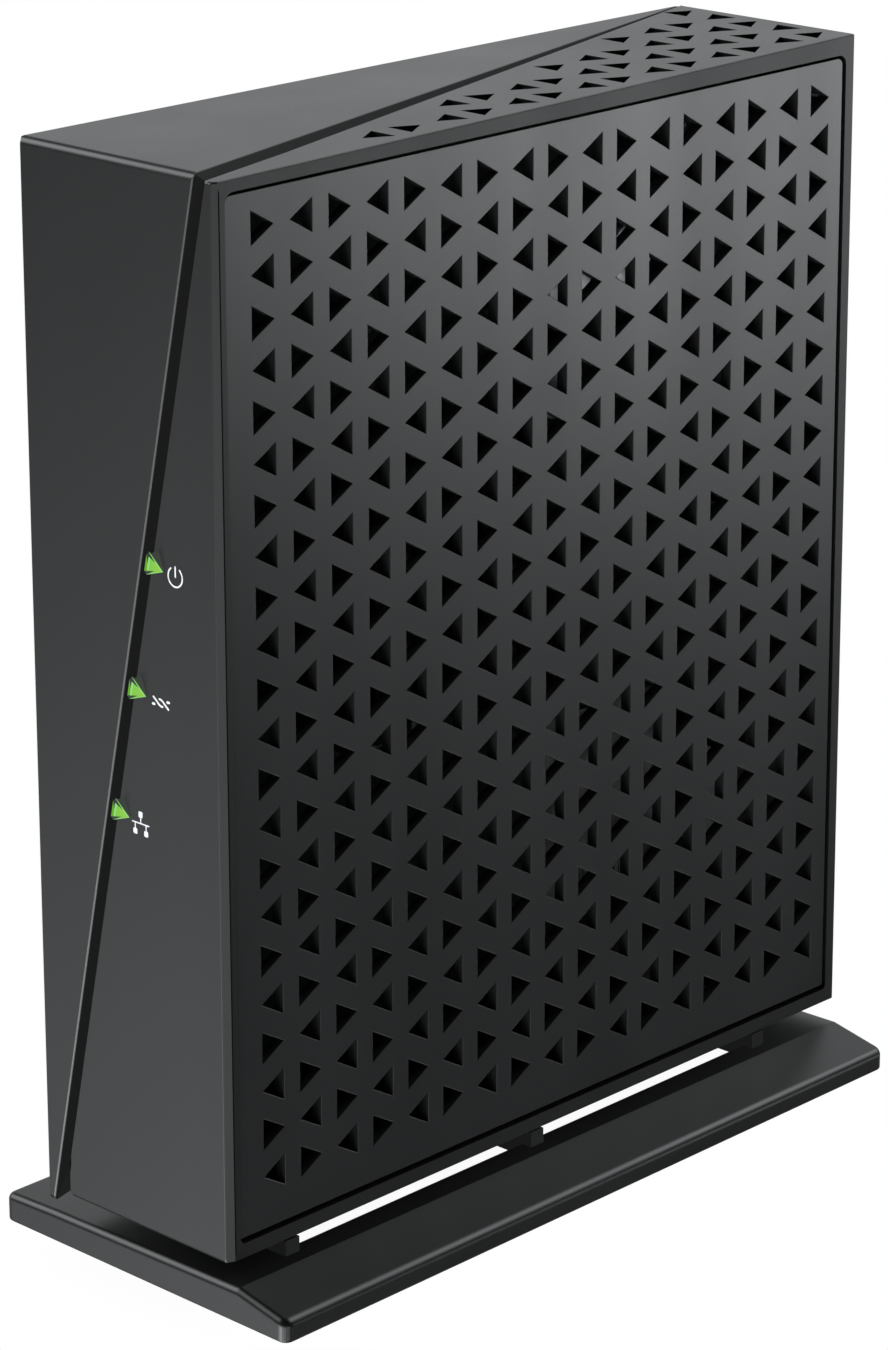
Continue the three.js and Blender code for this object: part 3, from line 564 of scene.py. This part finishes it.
def flat_outline(name, outlines, thickness, radius):
    """A filled flat plate in its own XY plane, from closed outlines, with rounded edges."""
    curve = bpy.data.curves.new(name, "CURVE")
    curve.dimensions = "2D"
    curve.fill_mode = "BOTH"
    curve.extrude = thickness / 2 - radius
    curve.bevel_depth = radius
    curve.bevel_resolution = 2
    curve.offset = -radius
    for outline in outlines:
        spline = curve.splines.new("POLY")
        spline.points.add(len(outline) - 1)
        for point, (u, v) in zip(spline.points, outline):
            point.co = (u, v, 0.0, 1.0)
        spline.use_cyclic_u = True
    holder = bpy.data.objects.new(name + "_curve", curve)
    bpy.context.scene.collection.objects.link(holder)
    bpy.context.view_layer.update()
    graph = bpy.context.evaluated_depsgraph_get()
    mesh = bpy.data.meshes.new_from_object(holder.evaluated_get(graph))
    bpy.data.objects.remove(holder)
    bpy.data.curves.remove(curve)
    bm = bmesh.new()
    bm.from_mesh(mesh)
    bpy.data.meshes.remove(mesh)
    bmesh.ops.remove_doubles(bm, verts=bm.verts, dist=1e-4)
    return bm


def rounded_rectangle(u0, u1, v0, v1, radii, steps=6):
    """Its outline, with corner radii in the order right-bottom, right-top, left-top, left-bottom."""
    corners = [(u1, v0, -90), (u1, v1, 0), (u0, v1, 90), (u0, v0, 180)]
    points = []
    for (u, v, start), radius in zip(corners, radii):
        cu = u - radius if u == u1 else u + radius
        cv = v - radius if v == v1 else v + radius
        for i in range(steps + 1):
            a = math.radians(start + 90.0 * i / steps)
            points.append((cu + radius * math.cos(a), cv + radius * math.sin(a)))
    return points


# Covers -------------------------------------------------------------------

SEAM_NORMAL = (SEAM_BOTTOM - SEAM_TOP).cross(SEAM_BACK - SEAM_TOP).normalized()


def on_seam(x=None, y=None, z=None):
    """The point of the seam plane with two of its coordinates given."""
    known = Vector((x or 0.0, y or 0.0, z or 0.0))
    missing = [x, y, z].index(None)
    gap = SEAM_NORMAL.dot(SEAM_TOP - known)
    known[missing] = gap / SEAM_NORMAL[missing]
    return known


def seam_x(z):
    """Where the front end of the seam is at a height."""
    return SEAM_BOTTOM.x + (SEAM_TOP.x - SEAM_BOTTOM.x) * z / HEIGHT


def front_corner_cover():
    """The raised skin over the front, top and left, cut off by the seam plane."""
    t = COVER_THICKNESS
    points = {
        "corner": Vector((-SIDE, FRONT, HEIGHT)),
        "foot": Vector((-SIDE, FRONT, 0.0)),
        "top": SEAM_TOP,
        "bottom": SEAM_BOTTOM,
        "bottom_left": on_seam(x=-SIDE, z=0.0),
        "back": SEAM_BACK,
        "in_corner": Vector((-SIDE + t, front_y(HEIGHT) - COVER_CLEARANCE, HEIGHT - t)),
        "in_top": on_seam(y=front_y(HEIGHT) - COVER_CLEARANCE, z=HEIGHT - t),
        "in_back": on_seam(x=-SIDE + t, z=HEIGHT - t),
        "in_bottom": on_seam(x=-SIDE + t, y=front_y(0.0) - COVER_CLEARANCE),
    }
    walls = [("top", "in_top", "in_bottom", "bottom"), ("back", "in_back", "in_top", "top")]
    faces = [
        ("corner", "top", "bottom", "foot"),
        ("corner", "back", "top"),
        ("corner", "foot", "bottom_left", "back"),
        ("foot", "bottom", "bottom_left"),
        ("bottom", "in_bottom", "bottom_left"),
        ("bottom_left", "in_bottom", "in_back", "back"),
        ("in_corner", "in_bottom", "in_top"),
        ("in_corner", "in_top", "in_back"),
        ("in_corner", "in_back", "in_bottom"),
    ]
    radii = {
        ("corner", "top"): COVER_TOP_FRONT_RADIUS,
        ("corner", "foot"): COVER_CRISP_RADIUS,
        ("corner", "back"): COVER_CRISP_RADIUS,
        ("top", "bottom"): COVER_SEAM_RADIUS,
        ("top", "back"): COVER_SEAM_RADIUS,
        ("bottom_left", "back"): COVER_SEAM_RADIUS,
        ("foot", "bottom"): BOTTOM_FRONT_RADIUS,
    }
    bm = bmesh.new()
    verts = {name: bm.verts.new(point) for name, point in points.items()}
    bm.verts.index_update()
    for face in faces:
        bm.faces.new([verts[name] for name in face])
    # The seam wall faces get the painted-shade glow materials.
    for index, wall in enumerate(walls, start=1):
        bm.faces.new([verts[name] for name in wall]).material_index = index
    bmesh.ops.recalc_face_normals(bm, faces=bm.faces)
    by_ends = {
        frozenset((verts[a].index, verts[b].index)): radius
        for (a, b), radius in radii.items()
    }
    weigh_edges(bm, lambda edge: by_ends.get(frozenset(v.index for v in edge.verts), 0.0))
    piece = round_edges(object_from("front_corner_cover_skin", bm), segments=12)
    piece.visible_glossy = False
    piece.visible_diffuse = False
    piece.visible_shadow = False
    # The seam walls glow at set dim levels: painted shade.
    for part in ("cover", "front_wall_painted_shade", "top_wall_painted_shade"):
        piece.data.materials.append(MATERIALS[part])
    return dress(piece, None, "modem", "satin_black", "front_corner_cover")


SHELL_SIDES = {
    # side: face direction, how far inside the housing's box the face may lie (mm)
    "right": (Vector((1.0, 0.0, 0.0)), 0.01),
    "facet": (Vector((0.9, -0.43, 0.0)), 1.5),
    "front": (Vector((0.0, -1.0, 0.0)), 0.6),
    "back": (Vector((0.0, 1.0, 0.0)), 0.01),
    "top": (Vector((0.0, 0.0, 1.0)), 1.5),
    "bottom": (Vector((0.0, 0.0, -1.0)), 0.01),
    "left": (Vector((-1.0, 0.0, 0.0)), 1.5),
}
SHELL_RADII = {
    ("back", "right"): 0.12,
    ("right", "top"): 0.18,
    ("bottom", "right"): 0.08,
    ("bottom", "facet"): 0.3,
    ("facet", "front"): 0.2,
    ("facet", "top"): 0.2,
    ("bottom", "front"): BOTTOM_FRONT_RADIUS,
    ("front", "top"): 0.42,
    ("back", "top"): 0.3,
    ("back", "left"): 0.4,
    ("back", "bottom"): 0.3,
    ("bottom", "left"): 0.4,
    ("left", "top"): 0.3,
}


def shell_side(face, low, high):
    """Which outer side of the housing a face belongs to, if any."""
    centre = face.calc_center_median()
    for side, (out, depth) in SHELL_SIDES.items():
        if face.normal.dot(out) < 0.98:
            continue
        reach = depth * MM
        gaps = [
            high[i] - centre[i] if out[i] > 0 else centre[i] - low[i]
            for i in range(3) if abs(out[i]) > 0.5
        ]
        if max(gaps) < reach:
            return side
    return None


def main_housing():
    """The housing's own shape, with its outer edges rounded."""
    bm = copied_node("main_housing")
    sides = {face: shell_side(face, housing_low, housing_high) for face in bm.faces}

    def radius_of(edge):
        if not turns_outward(edge, 20.0):
            return 0.0
        pair = tuple(sorted(str(sides[face]) for face in edge.link_faces))
        return SHELL_RADII.get(pair, 0.0)

    weigh_edges(bm, radius_of)
    piece = round_edges(object_from("housing_shell", bm, in_row_frame=True))
    return dress(piece, "housing", "modem", "satin_black", "main_housing")


def triangle(u, v, direction, side):
    """A hole that points along +u or -u."""
    half = side * math.sqrt(3) / 4
    return [
        (u + direction * half, v),
        (u - direction * half, v + direction * side / 2),
        (u - direction * half, v - direction * side / 2),
    ]


def side_grille():
    """The flat plate with its field of triangular holes, each pointing the other way from the next."""
    low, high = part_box("side_grille")
    low = TO_ROW.inverted() @ low
    high = TO_ROW.inverted() @ high
    radii = (GRILLE_CORNER_BOTTOM, GRILLE_CORNER_TOP, GRILLE_CORNER_TOP, GRILLE_CORNER_BOTTOM)
    outline = rounded_rectangle(low.y, high.y, low.z, high.z, radii)
    outlines = [[(y, lowered_top(y, z, low, high)) for y, z in outline]]
    for row in range(ROWS):
        for column in range(COLUMNS):
            y = FIRST_COLUMN_Y + column * COLUMN_PITCH
            z = TOP_ROW_Z - row * ROW_PITCH
            direction = 1 if (row + column) % 2 == 0 else -1
            outlines.append(triangle(y, z, direction, HOLE_SIDE))
    bm = flat_outline("grille", outlines, GRILLE_THICKNESS, GRILLE_EDGE_RADIUS)
    turn = Matrix(((0, 0, 1, 0), (1, 0, 0, 0), (0, 1, 0, 0), (0, 0, 0, 1)))
    middle = (low.x + high.x) / 2
    bm.transform(Matrix.Translation((middle, 0.0, 0.0)) @ turn)
    for face in bm.faces:
        face.smooth = False
    piece = object_from("grille_plate", bm)
    return dress(piece, "grille", "modem", "satin_black", "side_grille")


def lowered_top(y, z, low, high):
    """The upper edge of the grille falls a little towards the front."""
    if z < (low.z + high.z) / 2:
        return z
    return z - TOP_EDGE_RISE * (high.y - y) / (high.y - low.y)


# Status lenses and printed marks --------------------------------------------


def seam_frame(height):
    """Start point, direction up the seam and direction away from it, in the front view."""
    along = Vector((seam_x(1.0) - seam_x(0.0), 1.0)).normalized()
    away = Vector((along.y, -along.x))
    return Vector((seam_x(height), height)), along, away


def seam_spot(height, up, out, y=None):
    """A point beside the front seam, on the recessed front face unless y is given."""
    start, along, away = seam_frame(height)
    flat = start + along * up + away * out
    return Vector((flat.x, front_y(flat.y) if y is None else y, flat.y))


def lens_wedge(bm, height):
    """The lit part: a sloping triangle with rims in painted highlight, a lip in painted shade on the wall
    of the seam, and sides in painted light.
    """
    half = LENS_SIDE / 2
    tip_up, tip_out, tip_y = LENS_TIP
    lip_top, lip_foot = LENS_LIP_ENDS
    places = [
        (tip_up, tip_out, tip_y),
        (half, LENS_FROM_SEAM, LENS_FRONT_Y),
        (-half, LENS_FROM_SEAM, LENS_FRONT_Y),
        (lip_top, LENS_LIP_REACH, LENS_LIP_Y),
        (lip_foot, LENS_LIP_REACH, LENS_LIP_Y),
        (tip_up, tip_out),
        (half, LENS_FROM_SEAM),
        (-half, LENS_FROM_SEAM),
    ]
    verts = [bm.verts.new(seam_spot(height, *place)) for place in places]
    tip, upper, lower, lip_upper, lip_lower, back_tip, back_upper, back_lower = verts
    face = bm.faces.new([tip, upper, lower])
    lip = bm.faces.new([lower, upper, lip_upper, lip_lower])
    sides = [
        bm.faces.new([lip_lower, lip_upper, back_upper, back_lower]),
        bm.faces.new([tip, lower, lip_lower, back_lower, back_tip]),
        bm.faces.new([upper, tip, back_tip, back_upper, lip_upper]),
        bm.faces.new([back_tip, back_lower, back_upper]),
    ]
    # The rims glow brighter as a painted highlight, the lip dimmer as painted shade, and the sides at the
    # plastic's lit grey as painted light.
    face.material_index = LENS_PARTS.index("lens")
    lip.material_index = LENS_PARTS.index("lens_lip_painted_shade")
    for side in sides:
        side.material_index = LENS_PARTS.index("lens_side_painted_light")
    bmesh.ops.recalc_face_normals(bm, faces=bm.faces)
    rims = [bm.edges.get(pair) for pair in ((tip, upper), (upper, lower), (lower, tip))]
    bmesh.ops.bevel(
        bm, geom=rims, offset=LENS_RIM, offset_type="OFFSET", segments=2, profile=0.5,
        affect="EDGES", clamp_overlap=True, material=LENS_PARTS.index("lens_rim_painted_highlight"),
    )


def lens_foot(bm, height):
    """The dark part: a prism that fills the hole around the lens, flush with the recess."""
    half = LENS_SIDE / 2
    inradius = LENS_SIDE * math.sqrt(3) / 6
    grow = (inradius + LENS_CLEARANCE) / inradius
    corners = [
        (-half * grow, -inradius * grow),
        (0.0, 2 * inradius * grow),
        (half * grow, -inradius * grow),
    ]
    middle = LENS_FROM_SEAM + inradius
    front = [bm.verts.new(seam_spot(height, up, middle + out)) for up, out in corners]
    back = [bm.verts.new((v.co.x, LENS_BACK_Y, v.co.z)) for v in front]
    sides = [bm.faces.new(front), bm.faces.new(back[::-1])]
    for k in range(3):
        sides.append(bm.faces.new([front[k], back[k], back[k - 2], front[k - 2]]))
    for side in sides:
        side.material_index = LENS_PARTS.index("housing")


def lens(name, height):
    """A status lens: its lit wedge and the dark foot under it."""
    bm = bmesh.new()
    lens_wedge(bm, height)
    lens_foot(bm, height)
    piece = object_from(f"lens_{name}_prism", bm)
    for part in LENS_PARTS:
        piece.data.materials.append(MATERIALS[part])
    piece.visible_glossy = False
    return dress(piece, None, "modem", "lens_green", f"lens_{name}")


def front_y(z):
    """The recessed front face at a height."""
    recess = FRONT_RECESS_BOTTOM + (FRONT_RECESS_TOP - FRONT_RECESS_BOTTOM) * z / HEIGHT
    return FRONT + recess


def stroke(points, width):
    """A band of constant width along a path, as one closed outline with round ends."""
    half = width / 2
    path = [Vector(p) for p in points]
    left, right = [], []
    for i, point in enumerate(path):
        ahead = path[min(i + 1, len(path) - 1)]
        behind = path[max(i - 1, 0)]
        direction = (ahead - behind).normalized()
        normal = Vector((-direction.y, direction.x))
        left.append(point + normal * half)
        right.append(point - normal * half)

    def cap(centre, start):
        first = math.atan2(start.y - centre.y, start.x - centre.x)
        turns = [first - math.pi * k / 6 for k in range(1, 6)]
        return [centre + half * Vector((math.cos(turn), math.sin(turn))) for turn in turns]

    outline = left + cap(path[-1], left[-1]) + right[::-1] + cap(path[0], right[0])
    return [(p.x, p.y) for p in outline]


def box_mark(u, v, width, height):
    """A small filled box with soft corners, around a middle point."""
    left, right = u - width / 2, u + width / 2
    low, high = v - height / 2, v + height / 2
    return rounded_rectangle(left, right, low, high, [0.14] * 4, steps=3)


def power_mark():
    """A ring open at the top, with an upright bar in the opening."""
    arc = []
    for i in range(25):
        a = math.radians(90.0 + POWER_RING_GAP + (360.0 - 2.0 * POWER_RING_GAP) * i / 24)
        arc.append((POWER_RING_RADIUS * math.cos(a), POWER_RING_RADIUS * math.sin(a)))
    bar = [(0.02, 0.02), (0.02, 0.6), (0.02, 1.17)]
    return [stroke(arc, POWER_RING_LINE), stroke(bar, POWER_BAR_LINE)]


def link_mark():
    """Two strands that cross, as on a twisted pair; the strand behind is broken at each crossing."""
    strand = [(-1.22, 0.5), (-0.75, 0.14), (-0.34, -0.22), (-0.04, -0.38), (0.24, -0.4)]
    turned = [(-u, -v) for u, v in strand]
    stub = [(-1.34, -0.34), (-1.2, -0.34), (-1.06, -0.33)]
    turned_stub = [(-u, -v) for u, v in stub]
    strands = [stroke(path, LINK_LINE) for path in (strand, turned)]
    return strands + [stroke(path, LINK_STUB_LINE) for path in (stub, turned_stub)]


def network_mark():
    """One box above a bar and two below it, joined by short lines."""
    bar = [(-1.38, 0.0), (0.0, 0.0), (1.38, 0.0)]
    marks = [
        box_mark(0.0, 1.07, NETWORK_BOX_WIDTH, NETWORK_UPPER_BOX),
        stroke([(0.02, 0.75), (0.02, 0.4), (0.02, 0.0)], NETWORK_LINE),
        stroke(bar, NETWORK_BAR_LINE),
    ]
    for side in (-NETWORK_SPREAD, NETWORK_SPREAD):
        marks.append(stroke([(side, 0.0), (side, -0.4), (side, -0.75)], NETWORK_LINE))
        marks.append(box_mark(side, -1.06, NETWORK_BOX_WIDTH, NETWORK_LOWER_BOX))
    return marks


def printed_mark(name, outlines):
    """Ink a few hundredths of a millimetre thick on the recessed front face."""
    x, z = MARK_PLACES[name]
    bm = bmesh.new()
    for layer, outline in enumerate(outlines):
        lift = MARK_LIFT + MARK_LAYER * layer
        verts = [bm.verts.new((x + u, front_y(z + v) - lift, z + v)) for u, v in outline]
        face = bm.faces.new(verts)
        made = bmesh.ops.extrude_face_region(bm, geom=[face])
        moved = [v for v in made["geom"] if isinstance(v, bmesh.types.BMVert)]
        bmesh.ops.translate(bm, verts=moved, vec=(0.0, MARK_DEPTH, 0.0))
    piece = object_from(f"mark_{name}", bm)
    return dress(piece, "ink", "modem", "insulator_white")


# Stand ----------------------------------------------------------------------


def stand():
    """The stand's own shape with soft rims, and ribs between its windows in painted shade."""
    low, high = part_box("stand")
    middle = (low + high) / 2
    half = (high - low) / 2
    inside = STAND_RIM_WIDTH * MM

    def near_rim(edge, axis):
        return all(abs(v.co[axis] - middle[axis]) > half[axis] - inside for v in edge.verts)

    def face_above(edge):
        return max(face.normal.z for face in edge.link_faces) > 0.9

    def radius_of(edge):
        if not turns_outward(edge, 40.0):
            return 0.0
        level = [abs(face.normal.z) for face in edge.link_faces]
        on_rim = near_rim(edge, 0) or near_rim(edge, 1)
        if on_rim and max(level) > 0.9 and min(level) < 0.1:
            return STAND_RIM_RADIUS if face_above(edge) else STAND_FOOT_RADIUS
        return STAND_RIB_RADIUS if edge.calc_length() > STAND_SHORTEST_ROUNDED * MM else 0.0

    bm = copied_node("stand")
    # Rib faces between the windows get painted shade: a dim fixed glow in place of the shade under the
    # housing.
    for face in bm.faces:
        centre = face.calc_center_median()
        within = all(abs(centre[axis] - middle[axis]) < half[axis] - inside for axis in (0, 1))
        if within and abs(face.normal.y) > 0.9:
            face.material_index = 1
    weigh_edges(bm, radius_of)
    piece = round_edges(object_from("stand_plate", bm, in_row_frame=True))
    for part in ("stand", "rib_wall_painted_shade"):
        piece.data.materials.append(MATERIALS[part])
    piece.visible_glossy = False
    piece.visible_diffuse = False
    piece.visible_shadow = False
    return dress(piece, None, "stand_unit", "satin_black", "stand")


# Rear connectors ----------------------------------------------------------------


def thread_ring(bm, centre, y, radius_at):
    """One ring of points around the barrel; its radius may change along the turn, from 0 to 1."""
    ring = []
    for k in range(THREAD_SIDES):
        turn = k / THREAD_SIDES
        a = 2.0 * math.pi * turn
        radius = radius_at(turn)
        x, z = centre.x + radius * math.cos(a), centre.z + radius * math.sin(a)
        ring.append(bm.verts.new((x, y, z)))
    return ring


def coax_barrel():
    """Threaded barrel with a helical thread, a plain lead-in and a counterbored mouth."""
    low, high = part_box("coax_barrel")
    centre = (low + high) / 2
    outer = (high.x - low.x) / 2
    pitch = THREAD_PITCH * MM
    start, end = low.y, high.y - THREAD_LEAD_IN * MM
    rows = int((end - start) / pitch * RINGS_PER_PITCH)
    bm = bmesh.new()
    rings = []
    for row in range(rows + 1):
        y = start + (end - start) * row / rows
        fade = max(0.0, min(1.0, (end - y) / (0.8 * pitch), (y - start) / pitch))

        def thread_radius(turn):
            phase = ((y - start) / pitch - turn) % 1.0
            tooth = 1.0 - abs(2.0 * phase - 1.0)
            return outer - THREAD_DEPTH * MM * tooth * fade

        rings.append(thread_ring(bm, centre, y, thread_radius))
    mouth = [
        (high.y - 0.1 * MM, outer - 0.45 * MM),
        (high.y, outer - 0.65 * MM),
        (high.y, MOUTH_RADIUS * MM),
        (high.y - 0.25 * MM, BORE_RADIUS * MM),
        (BORE_FLOOR_Y * MM + TO_ROW.translation.y, BORE_RADIUS * MM),
    ]
    for y, radius in mouth:
        rings.append(thread_ring(bm, centre, y, lambda turn: radius))
    for a, b in zip(rings, rings[1:]):
        for k in range(THREAD_SIDES):
            after = (k + 1) % THREAD_SIDES
            bm.faces.new([a[k], a[after], b[after], b[k]])
    bm.faces.new(rings[0][::-1])
    bm.faces.new(rings[-1])
    piece = smooth(object_from("coax_thread", bm, in_row_frame=True), 28.0)
    return dress(piece, "thread", "modem", "tin_plate", "coax_barrel")


REAR_SHARP_DEGREES = 35.0
REAR_SHORTEST_ROUNDED = 0.8


def bevelled_copy(node, piece_name, material, slot, radius, segments, body="modem"):
    """A part rebuilt from its CAD shape with rounded edges."""
    bm = copied_node(node)

    def radius_of(edge):
        long_enough = edge.calc_length() > REAR_SHORTEST_ROUNDED * MM
        return radius if long_enough and turns_outward(edge, REAR_SHARP_DEGREES) else 0.0

    weigh_edges(bm, radius_of)
    smooth_curves(bm, REAR_SHARP_DEGREES)
    piece = even_normals(round_edges(object_from(piece_name, bm, in_row_frame=True), segments))
    return dress(piece, material, body, slot, node)


def rear_parts():
    """Rear panel, connectors and power button."""
    bevelled_copy("rear_panel", "rear_plate", "rear", "dark_plastic", 0.15, 2)
    bevelled_copy("ethernet_jack", "ethernet_socket", "jack", "dark_plastic", 0.12, 2)
    bevelled_copy("coax_nut", "coax_hex_nut", "tin", "tin_plate", 0.3, 3)
    bevelled_copy("dc_jack", "power_inlet", "jack", "dark_plastic", 0.15, 2)
    bevelled_copy(
        "power_button", "power_button_cap_skin", "button", "dark_plastic", 0.4, 4,
        body="power_button_cap",
    )
    coax_barrel()


# Carried-over CAD nodes ------------------------------------------------------------

CARRIED = {
    "board": ["main_board", "status_board"],
    "ribbon": ["status_ribbon"],
    "chip": ["modem_chip", "memory_chip", "flash_chip", "ethernet_transformer", "power_inductor"],
    "pad": ["thermal_pad"],
    "aluminium": ["heatsink"],
    "tin": [
        "tuner_shield", "crystal_can", "coax_base", "dc_pin",
        *[f"board_screw_{i}" for i in range(1, 5)],
    ],
    "sleeve": [f"capacitor_{i}" for i in range(1, 5)],
    "insulator": ["coax_insulator"],
    "gold": ["ethernet_contacts"],
    "led": [f"status_led_{name}" for name in LENS_HEIGHTS],
    "jack": ["power_switch", "reset_switch"],
    "button": ["reset_button"],
    "rubber": [f"rubber_foot_{i}" for i in range(1, 5)],
}
CARRIED_RADII = {
    "chip": 0.15,
    "aluminium": 0.12,
    "sleeve": 0.3,
    "rubber": 0.3,
    "jack": 0.15,
    "button": 0.25,
    "insulator": 0.15,
}
CARRIED_SHARP_DEGREES = 50.0


def carried_nodes():
    """Materials, and rounded edges where they show, for the nodes kept as they are."""
    for material, names in CARRIED.items():
        for name in names:
            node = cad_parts[name]
            node.data.materials.clear()
            node.data.materials.append(MATERIALS[material])
            if material in CARRIED_RADII:
                weld = node.modifiers.new("weld", "WELD")
                weld.merge_threshold = 1e-6
                bevel = node.modifiers.new("soft_edges", "BEVEL")
                bevel.width = CARRIED_RADII[material] * MM
                bevel.segments = 2
                bevel.limit_method = "ANGLE"
                bevel.angle_limit = math.radians(CARRIED_SHARP_DEGREES)


# Studio -----------------------------------------------------------------------------


FLOOR_SIZE = 3.0
FLOOR_PAINTED_SHADOW_REACH = 0.012


def floor_material():
    """White paper, a little darker right beside what stands on it: a painted contact shadow."""
    material = bpy.data.materials.new("floor_white")
    material.use_nodes = True
    material.node_tree.nodes.clear()
    nodes = Nodes(material.node_tree)
    # Occlusion darkens the glowing paper near the object: painted shadow.
    occlusion = nodes.add("ShaderNodeAmbientOcclusion", samples=8)
    occlusion.inputs["Distance"].default_value = FLOOR_PAINTED_SHADOW_REACH
    paper = object_noise(nodes, 40.0, detail=4.0)
    shade = nodes.remap(occlusion.outputs["AO"], 0.0, 1.0, 0.0, 1.0)
    tone = nodes.mix(shade, (0.93, 0.935, 0.94), (1.0, 1.0, 1.0))
    tint = nodes.mix(nodes.remap(paper, 0.3, 0.7, 0.0, 0.01), tone, (0.96, 0.96, 0.97))
    emission = nodes.add("ShaderNodeEmission")
    nodes.link(tint, emission.inputs["Color"])
    output = nodes.add("ShaderNodeOutputMaterial")
    nodes.link(emission.outputs[0], output.inputs["Surface"])
    return material


def floor():
    """A plain white floor; the camera sees it, but the object neither reflects it nor is lit by it."""
    bm = bmesh.new()
    bmesh.ops.create_grid(bm, x_segments=8, y_segments=8, size=FLOOR_SIZE)
    mesh = bpy.data.meshes.new("floor")
    bm.to_mesh(mesh)
    bm.free()
    ground = bpy.data.objects.new("floor", mesh)
    bpy.context.scene.collection.objects.link(ground)
    mesh.materials.append(floor_material())
    ground.visible_diffuse = False
    ground.visible_glossy = False
    ground.visible_transmission = False
    ground.visible_shadow = False


def direction(azimuth, elevation):
    """A unit vector; azimuth 0 points to +X and 90 to +Y."""
    a, e = math.radians(azimuth), math.radians(elevation)
    return Vector((math.cos(a) * math.cos(e), math.sin(a) * math.cos(e), math.sin(e)))


SOFT_LIGHTS = {
    # name: azimuth, elevation, radius (degrees), strength in the middle
    "key": (48.5, -9.5, 7.5, 5.8),
    "key_glow": (52.0, -4.0, 16.0, 0.8),
    "key_low": (37.0, -40.0, 12.5, 2.7),
    "side": (-8.0, -18.0, 14.0, 2.8),
    "side_wide": (-28.0, -20.0, 20.0, 2.1),
    "front_low": (247.0, -39.0, 24.0, 6.5),
    "front_lower": (252.0, -34.0, 20.0, 5.3),
    "front_wide": (290.0, -42.0, 32.0, 4.9),
    "front_soft": (220.0, -24.0, 10.0, 0.9),
    "front_glow": (223.0, -16.0, 16.0, 0.3),
    "top_front": (213.5, 33.0, 30.5, 5.2),
    "top_left": (160.0, 24.0, 20.0, 0.5),
    "top_back": (113.0, 46.0, 31.0, 1.0),
    "top_glow": (133.0, 16.0, 24.0, 0.8),
    "back_high": (82.0, 29.0, 18.0, 2.1),
    "back_right": (62.0, 42.0, 26.0, 3.7),
    "left_wall": (175.0, -5.0, 40.0, 0.7),
    "back_wall": (100.0, -12.0, 35.0, 0.45),
}
AMBIENT = 0.005
ROOM_TINT = (0.96, 0.985, 1.0, 1.0)


def studio_world():
    """White to the camera; to the object, a dark room with soft panels of light."""
    world = bpy.data.worlds.new("studio")
    bpy.context.scene.world = world
    world.use_nodes = True
    world.node_tree.nodes.clear()
    nodes = Nodes(world.node_tree)
    coords = nodes.add("ShaderNodeTexCoord")
    total = nodes.math("ADD", AMBIENT, 0.0)
    for azimuth, elevation, radius, strength in SOFT_LIGHTS.values():
        dot = nodes.add("ShaderNodeVectorMath", operation="DOT_PRODUCT")
        nodes.link(coords.outputs["Generated"], dot.inputs[0])
        dot.inputs[1].default_value = direction(azimuth, elevation)
        edge = math.cos(math.radians(radius))
        lobe = nodes.remap(dot.outputs["Value"], edge, 1.0, 0.0, strength, smooth=True)
        total = nodes.math("ADD", total, lobe)
    room = nodes.add("ShaderNodeBackground")
    nodes.link(total, room.inputs["Strength"])
    room.inputs["Color"].default_value = ROOM_TINT
    white = nodes.add("ShaderNodeBackground")
    white.inputs["Strength"].default_value = 1.0
    path = nodes.add("ShaderNodeLightPath")
    mix = nodes.add("ShaderNodeMixShader")
    nodes.link(path.outputs["Is Camera Ray"], mix.inputs["Fac"])
    nodes.link(room.outputs[0], mix.inputs[1])
    nodes.link(white.outputs[0], mix.inputs[2])
    output = nodes.add("ShaderNodeOutputWorld")
    nodes.link(mix.outputs[0], output.inputs["Surface"])
    bpy.context.scene.view_settings.view_transform = "Standard"


def camera():
    """A long lens, turned and shifted so that the object fills the frame."""
    data = bpy.data.cameras.new("camera")
    data.sensor_width = SENSOR_WIDTH
    data.lens = LENS_LENGTH
    data.shift_x = SHIFT_X
    data.shift_y = SHIFT_Y
    data.clip_start = 0.01
    data.clip_end = 20.0
    viewer = bpy.data.objects.new("camera", data)
    bpy.context.scene.collection.objects.link(viewer)
    a, e = math.radians(CAMERA_AZIMUTH), math.radians(CAMERA_ELEVATION)
    back = Vector((math.sin(a) * math.cos(e), -math.cos(a) * math.cos(e), math.sin(e)))
    viewer.location = TO_ROW @ CAMERA_POSITION
    viewer.rotation_mode = "QUATERNION"
    viewer.rotation_quaternion = (-back).to_track_quat("-Z", "Y")
    bpy.context.scene.camera = viewer


front_corner_cover()
main_housing()
side_grille()
for lens_name, lens_height in LENS_HEIGHTS.items():
    lens(lens_name, lens_height)
printed_mark("power", power_mark())
printed_mark("link", link_mark())
printed_mark("network", network_mark())
stand()
rear_parts()
carried_nodes()
floor()
studio_world()
camera()
